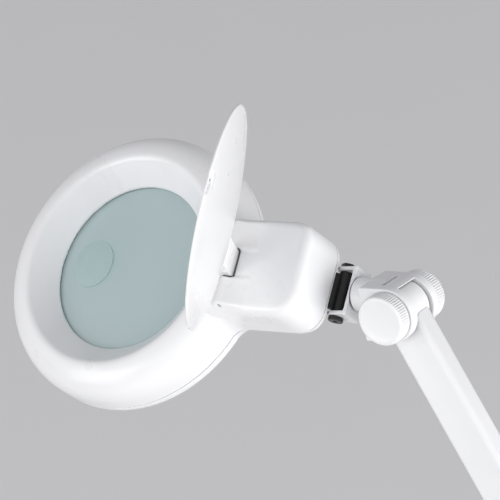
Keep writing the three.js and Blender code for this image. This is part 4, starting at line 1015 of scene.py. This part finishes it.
# ---- Arms ----
def tube_shape(near_coped, far_coped, far_end=ARM):
    """A thin rounded tube along X. A coped end follows the round barrel it meets."""
    corners = ((-1, -1), (1, -1), (1, 1), (-1, 1))
    outer = rounded([(a * TUBE_WIDE / 2, b * TUBE_TALL / 2, TUBE_CORNER) for a, b in corners], steps=10)
    dense = []
    for (ay, az), (by, bz) in zip(outer, outer[1:] + outer[:1]):
        pieces = max(1, int(math.hypot(by - ay, bz - az) / 1.2))
        dense += [(ay + (by - ay) * k / pieces, az + (bz - az) * k / pieces) for k in range(pieces)]
    outer = np.array(dense)
    shrink = np.array([1 - 2 * TUBE_WALL / TUBE_WIDE, 1 - 2 * TUBE_WALL / TUBE_TALL])
    inner = outer * shrink
    reach = BARREL_R + GAP

    def end(section, inset, near):
        cope = np.sqrt(np.maximum(reach**2 - section[:, 1] ** 2, 0))
        if near:
            return cope + inset if near_coped else np.full(len(section), inset)
        return ARM - cope - inset if far_coped else np.full(len(section), far_end - inset)

    rings = []
    from_skin = [(outer, 0.5), (outer * 0.994, 0.12), (outer * 0.975, 0), (inner, 0.0)]
    for near, steps in ((True, from_skin), (False, from_skin[::-1])):
        rings += [np.column_stack([end(section, inset, near), section]) for section, inset in steps]
    return np.concatenate(rings), ring_quads(len(rings), len(outer), True, inward=True)


def spigot(x, y, z, start, end):
    """What fills the end of a tube."""
    clear = TUBE_WALL + GAP
    wide, tall = TUBE_WIDE / 2 - clear, TUBE_TALL / 2 - clear
    return between(rectangle(y, z, (-wide, -tall), (wide, tall), TUBE_CORNER - TUBE_WALL), x, start, end, 0.6)


def barrel_distance(x, y, z):
    drum = between(disc(x, z, BARREL_R), y, -BARREL_HALF, BARREL_HALF, 0.8)
    whole = np.minimum(drum, spigot(x, y, z, SPIGOT_START, SPIGOT_END))
    return bored(whole, x, z, AXLE_R)


barrel = surfaced(barrel_distance, (-18, -10, -18), (SPIGOT_END + 1, 10, 18), 0.6)
far_barrel = moved(barrel, Matrix.Translation((ARM, 0, 0)) @ Matrix.Rotation(math.pi, 4, "Y"))
show("upper_arm_head_barrel_look", barrel, UPPER, "upper_arm", "white_paint", crease=50)
show("upper_arm_elbow_barrel_look", far_barrel, UPPER, "upper_arm", "white_paint", crease=50)
show("upper_arm_tube_look", tube_shape(True, True), UPPER, "upper_arm", "white_paint", crease=50)
show("lower_arm_barrel_look", barrel, LOWER, "lower_arm", "white_paint", crease=50)
lower_tube = tube_shape(True, False, ARM - ELBOW_FORK - GAP)
show("lower_arm_tube_look", lower_tube, LOWER, "lower_arm", "white_paint", crease=50)


def elbow_fork_distance(x, y, z):
    body = carve(fork_body(x, y, z, ELBOW_FORK), open_slot(x, y, z), 0.4)
    stem = spigot(x, y, z, -ELBOW_FORK - ELBOW_STEM, 2 - ELBOW_FORK)
    return bored(np.minimum(body, stem), x, z, AXLE_R)


solid("elbow_fork_look", elbow_fork_distance, (-49, -18, -20), (20, 18, 20), 0.55,
      ELBOW, "lower_arm", "white_paint")
axle_set(ELBOW, "elbow", "lower_arm")


# ---- Base ----
def base_fork_distance(x, y, z):
    body = carve(fork_body(x, y, z, BASE_FORK), open_slot(x, y, z), 0.4)
    body = carve(body, np.maximum(disc(y, z, POST_R + BORE_GAP), x + BASE_FORK - POST_SOCKET), 0.3)
    body = carve(body, np.maximum(disc(x, y, INLET_R + 0.2, (-INLET_DROP, 0)), EAR_R - 8 - z), 0.3)
    return bored(body, x, z, AXLE_R)


solid("base_fork_look", base_fork_distance, (-39, -18, -20), (20, 18, 20), 0.55, BASE, "base", "white_paint")
axle_set(BASE, "base", "base")
inlet = [
    (0, EAR_R - INLET_DEEP), (INLET_R, EAR_R - INLET_DEEP, 0.3), (INLET_R, EAR_R + 0.5, 0.3),
    (INLET_HOLE_R, EAR_R + 0.5, 0.2), (INLET_HOLE_R, EAR_R - 3), (0, EAR_R - 3),
]
inlet_shape = moved(lathe(rounded(inlet, closed=False), 48), Matrix.Translation((-INLET_DROP, 0, 0)))
show("power_inlet_look", inlet_shape, BASE, "base", "black_plastic")
post_top = POST_SOCKET - 0.5 - BASE_FORK
post_foot = POST_END - BASE_FORK - BASE_LIFT - BOSS_TOP
show("swivel_post_look", moved(rod(POST_R, post_foot, post_top, 0.6, 64), FACING_ARM), BASE, "base", "steel")


# ---- Clamp ----
def clamp_distance(x, y, z):
    under = JAW_LINER + 0.1
    jaw_step, jaw_end = LOWER_JAW + JAW_STEP, SCREW_X - 13
    frame_outline = rounded([
        (JAW_FRONT, under), (SPINE_IN, under, 3), (SPINE_IN, jaw_step, 3), (jaw_end, jaw_step, 1),
        (jaw_end, LOWER_JAW, 1), (SPINE_OUT, LOWER_JAW, 6), (SPINE_OUT, JAW_TOP, 4), (JAW_FRONT, JAW_TOP, 4),
    ])
    whole = between(outline(x, z, frame_outline), y, -JAW_HALF, JAW_HALF, 1.4)
    boss = between(disc(x, y, BOSS_R), z, JAW_TOP - 1, BOSS_TOP, 1.0)
    whole = join(whole, boss, 3.0)
    nut = between(disc(x, y, NUT_R, (SCREW_X, 0)), z, NUT_LOW, NUT_HIGH, 1.0)
    whole = join(whole, nut, 2.0)
    whole = carve(whole, np.maximum(disc(x, y, BUSH_R + 0.2), POST_END - 0.6 - z), 0.3)
    return carve(whole, np.maximum(disc(x, y, SCREW_R + 0.2, (SCREW_X, 0)), z + 50), 0.4)


solid("clamp_body_look", clamp_distance, (-49, -25, -91), (27, 25, 41), 0.8,
      TABLE_TOP, "clamp", "white_paint")


def liner_distance(x, y, z):
    pad = box((x, y, z), (JAW_FRONT + 1, 1 - JAW_HALF, 0), (SPINE_IN - 1, JAW_HALF - 1, JAW_LINER), 0.4)
    rib = np.maximum(abs((x + 2) % 4 - 2) - 0.5, z - 0.5)
    return carve(pad, np.maximum(rib, 14 - np.hypot(x, y)), 0.1)


solid("jaw_liner_look", liner_distance, (JAW_FRONT, -JAW_HALF, 0), (SPINE_IN, JAW_HALF, JAW_LINER), 0.5,
      TABLE_TOP, "clamp", "rubber", crease=35)
bush_foot, flange_low = POST_END - GAP, BOSS_TOP + 0.1
flange_top = flange_low + BUSH_FLANGE
bush_bore = POST_R + BORE_GAP
bush = [
    (bush_bore, bush_foot, 0.2), (BUSH_R, bush_foot, 0.2), (BUSH_R, flange_low),
    (BUSH_FLANGE_R, flange_low, 0.3), (BUSH_FLANGE_R, flange_top, 0.5), (bush_bore, flange_top, 0.3),
]
show("swivel_bush_look", lathe(rounded(bush)), TABLE_TOP, "clamp", "black_plastic")

foot = [(0, -2.1), (FOOT_R, -2.1, 0.4), (FOOT_R, -5, 0.6), (SCREW_R + 4, -9, 1.2), (SCREW_R + 0.4, -9, 0.2),
        (SCREW_R - 0.5, -4.4), (0, -4.4)]
show("clamp_foot_look", lathe(rounded(foot[::-1], closed=False)), SCREW, "clamp_foot", "black_steel")


def pad_distance(x, y, z):
    pad = between(disc(x, y, FOOT_R - 1), z, -2, 0, 0.4)
    groove = np.maximum(abs(np.hypot(x, y) % 4 - 2) - 0.45, -0.5 - z)
    return carve(pad, groove, 0.1)


solid("foot_pad_look", pad_distance, (-FOOT_R, -FOOT_R, -2), (FOOT_R, FOOT_R, 0), 0.45,
      SCREW, "clamp_foot", "rubber", crease=35)


def screw_rod():
    """The clamp screw: plain nose and thread of three-millimetre pitch. Its turned head is a shape of its own."""
    sides, rise = 48, 0.25
    heights = np.arange(-9.4 - SCREW_LENGTH + 2, -10.4, rise)
    angles = np.arange(sides) * 2 * math.pi / sides
    rows = []
    for height in heights:
        phase = (height / THREAD_PITCH - angles / (2 * math.pi)) % 1
        groove = np.clip(2.2 * abs(phase - 0.5) - 0.15, 0, 0.8)
        fade = min(1, (height - heights[0]) / 2, (heights[-1] - height) / 2)
        radius = SCREW_R - 0.9 * (0.8 - groove) / 0.8 * max(fade, 0)
        level = np.full(sides, height)
        rows.append(np.column_stack([radius * np.cos(angles), radius * np.sin(angles), level]))
    points = np.concatenate(rows)
    faces = ring_quads(len(rows), sides, False)
    last = (len(rows) - 1) * sides
    faces += [tuple(range(sides))[::-1], tuple(range(last, last + sides))]
    nose = [(0, -10.6), (SCREW_R - 0.4, -10.6, 0.2), (SCREW_R - 0.9, -4.8, 0.3), (0, -4.8)]
    return together((points, faces), lathe(rounded(nose, closed=False), 48))


def screw_head_distance(x, y, z):
    half = SCREW_HEAD_TALL / 2
    head = between(disc(x, y, SCREW_HEAD_R), z, -BAR_DROP - half, -BAR_DROP + half, 1.2)
    return carve(head, disc(x, z, CROSS_BAR_R + 0.2, (0, -BAR_DROP)), 0.5)


show("clamp_screw_look", screw_rod(), SCREW, "clamp_screw", "steel", crease=50)
solid("clamp_screw_head_look", screw_head_distance, (-8, -8, -BAR_DROP - 7), (8, 8, -BAR_DROP + 7), 0.4,
      SCREW, "clamp_screw", "steel", nodes=["clamp_screw"])
bar_tip, bar_neck = (BAR_LENGTH + BAR_END_LONG) / 2, (BAR_LENGTH - BAR_END_LONG) / 2
bar = [
    (0, -bar_tip), (BAR_END_R, -bar_tip, 1.6), (BAR_END_R, -bar_neck, 1.4), (CROSS_BAR_R, -bar_neck, 0.3),
    (CROSS_BAR_R, bar_neck, 0.3), (BAR_END_R, bar_neck, 1.4), (BAR_END_R, bar_tip, 1.6), (0, bar_tip),
]
bar_line = Matrix.Translation((0, 0, -BAR_DROP)) @ FACING_REAR
show("clamp_bar_look", moved(lathe(rounded(bar, closed=False), 64), bar_line), SCREW, "clamp_bar", "steel")


# ---- Floor, light and camera, in metres ----
FLOOR_HEIGHT, FLOOR_HALF, SOFTBOX_SIZE, SKY_STRENGTH = -0.175, 40.0, 1.6, 1.28
CAMERA_TURN, CAMERA_RAISE, CAMERA_FAR, CAMERA_LENS = 34, 24, 2.5, 251.5
LENS_TO_MIDDLE = (0.08583, 0.01224)


def floor():
    height, half = FLOOR_HEIGHT, FLOOR_HALF
    mesh = bpy.data.meshes.new("floor")
    corners = [(-half, -half, height), (half, -half, height), (half, half, height), (-half, half, height)]
    mesh.from_pydata(corners, [], [(0, 1, 2, 3)])
    ground = bpy.data.objects.new("floor", mesh)
    bpy.context.scene.collection.objects.link(ground)
    mesh.materials.append(looks["floor_paint"])


def softbox(name, place, target, power):
    light = bpy.data.lights.new(name, "AREA")
    light.shape, light.size, light.size_y = "RECTANGLE", SOFTBOX_SIZE, SOFTBOX_SIZE
    light.energy = power
    lamp = bpy.data.objects.new(name, light)
    bpy.context.scene.collection.objects.link(lamp)
    lamp.location = place
    lamp.rotation_mode = "QUATERNION"
    lamp.rotation_quaternion = (Vector(target) - Vector(place)).to_track_quat("-Z", "Y")
    lamp.visible_camera = False


def studio_sky():
    """Soft light from all round, dim overhead and dark behind the lamp, so that its far edges read."""
    world = bpy.data.worlds.new("studio")
    bpy.context.scene.world = world
    world.use_nodes = True
    nodes, links = world.node_tree.nodes, world.node_tree.links

    def ramp(factor, stops):
        node = nodes.new("ShaderNodeValToRGB")
        links.new(factor, node.inputs["Fac"])
        first, last = node.color_ramp.elements
        first.position, first.color = stops[0]
        last.position, last.color = stops[-1]
        for position, color in stops[1:-1]:
            node.color_ramp.elements.new(position).color = color
        return node.outputs["Color"]

    direction = nodes.new("ShaderNodeTexCoord").outputs["Generated"]
    parts = nodes.new("ShaderNodeSeparateXYZ")
    links.new(direction, parts.inputs[0])
    upward = ramp(parts.outputs["Z"], [
        (0.0, (0.98, 0.98, 1.0, 1)), (0.35, (0.82, 0.82, 0.84, 1)), (0.9, (0.26, 0.26, 0.27, 1)),
    ])
    away = nodes.new("ShaderNodeVectorMath")
    away.operation = "DOT_PRODUCT"
    away.inputs[1].default_value = (-0.56, 0.83, 0.0)
    links.new(direction, away.inputs[0])
    behind = ramp(away.outputs["Value"], [(0.1, (1, 1, 1, 1)), (0.75, (0.30, 0.30, 0.31, 1))])
    both = nodes.new("ShaderNodeMix")
    both.data_type, both.blend_type = "RGBA", "MULTIPLY"
    both.inputs["Factor"].default_value = 1.0
    links.new(upward, both.inputs[6])
    links.new(behind, both.inputs[7])
    links.new(both.outputs[2], nodes["Background"].inputs["Color"])
    nodes["Background"].inputs["Strength"].default_value = SKY_STRENGTH


def photo_camera():
    """Looks down on the head from its left front, from far off."""
    azimuth, elevation = math.radians(CAMERA_TURN), math.radians(CAMERA_RAISE)
    right = Vector((math.cos(azimuth), math.sin(azimuth), 0))
    level = math.cos(elevation)
    back = Vector((math.sin(azimuth) * level, -math.cos(azimuth) * level, math.sin(elevation)))
    up = back.cross(right)
    aim_right, aim_up = LENS_TO_MIDDLE
    camera = bpy.data.objects.new("camera", bpy.data.cameras.new("camera"))
    bpy.context.scene.collection.objects.link(camera)
    camera.data.sensor_width = 36
    camera.data.lens = CAMERA_LENS
    camera.data.clip_start, camera.data.clip_end = 0.1, 200
    camera.location = HEAD.translation + aim_right * right + aim_up * up + CAMERA_FAR * back
    camera.rotation_mode = "QUATERNION"
    camera.rotation_quaternion = (-back).to_track_quat("-Z", "Y")
    bpy.context.scene.camera = camera


bpy.context.scene.view_settings.view_transform = "Standard"
floor()
studio_sky()
softbox("key", (-1.6, -2.4, 0.5), (-0.15, 0, 0.6), 20)
softbox("fill", (2.6, -0.3, 0.5), (-0.1, 0, 0.6), 42)
photo_camera()
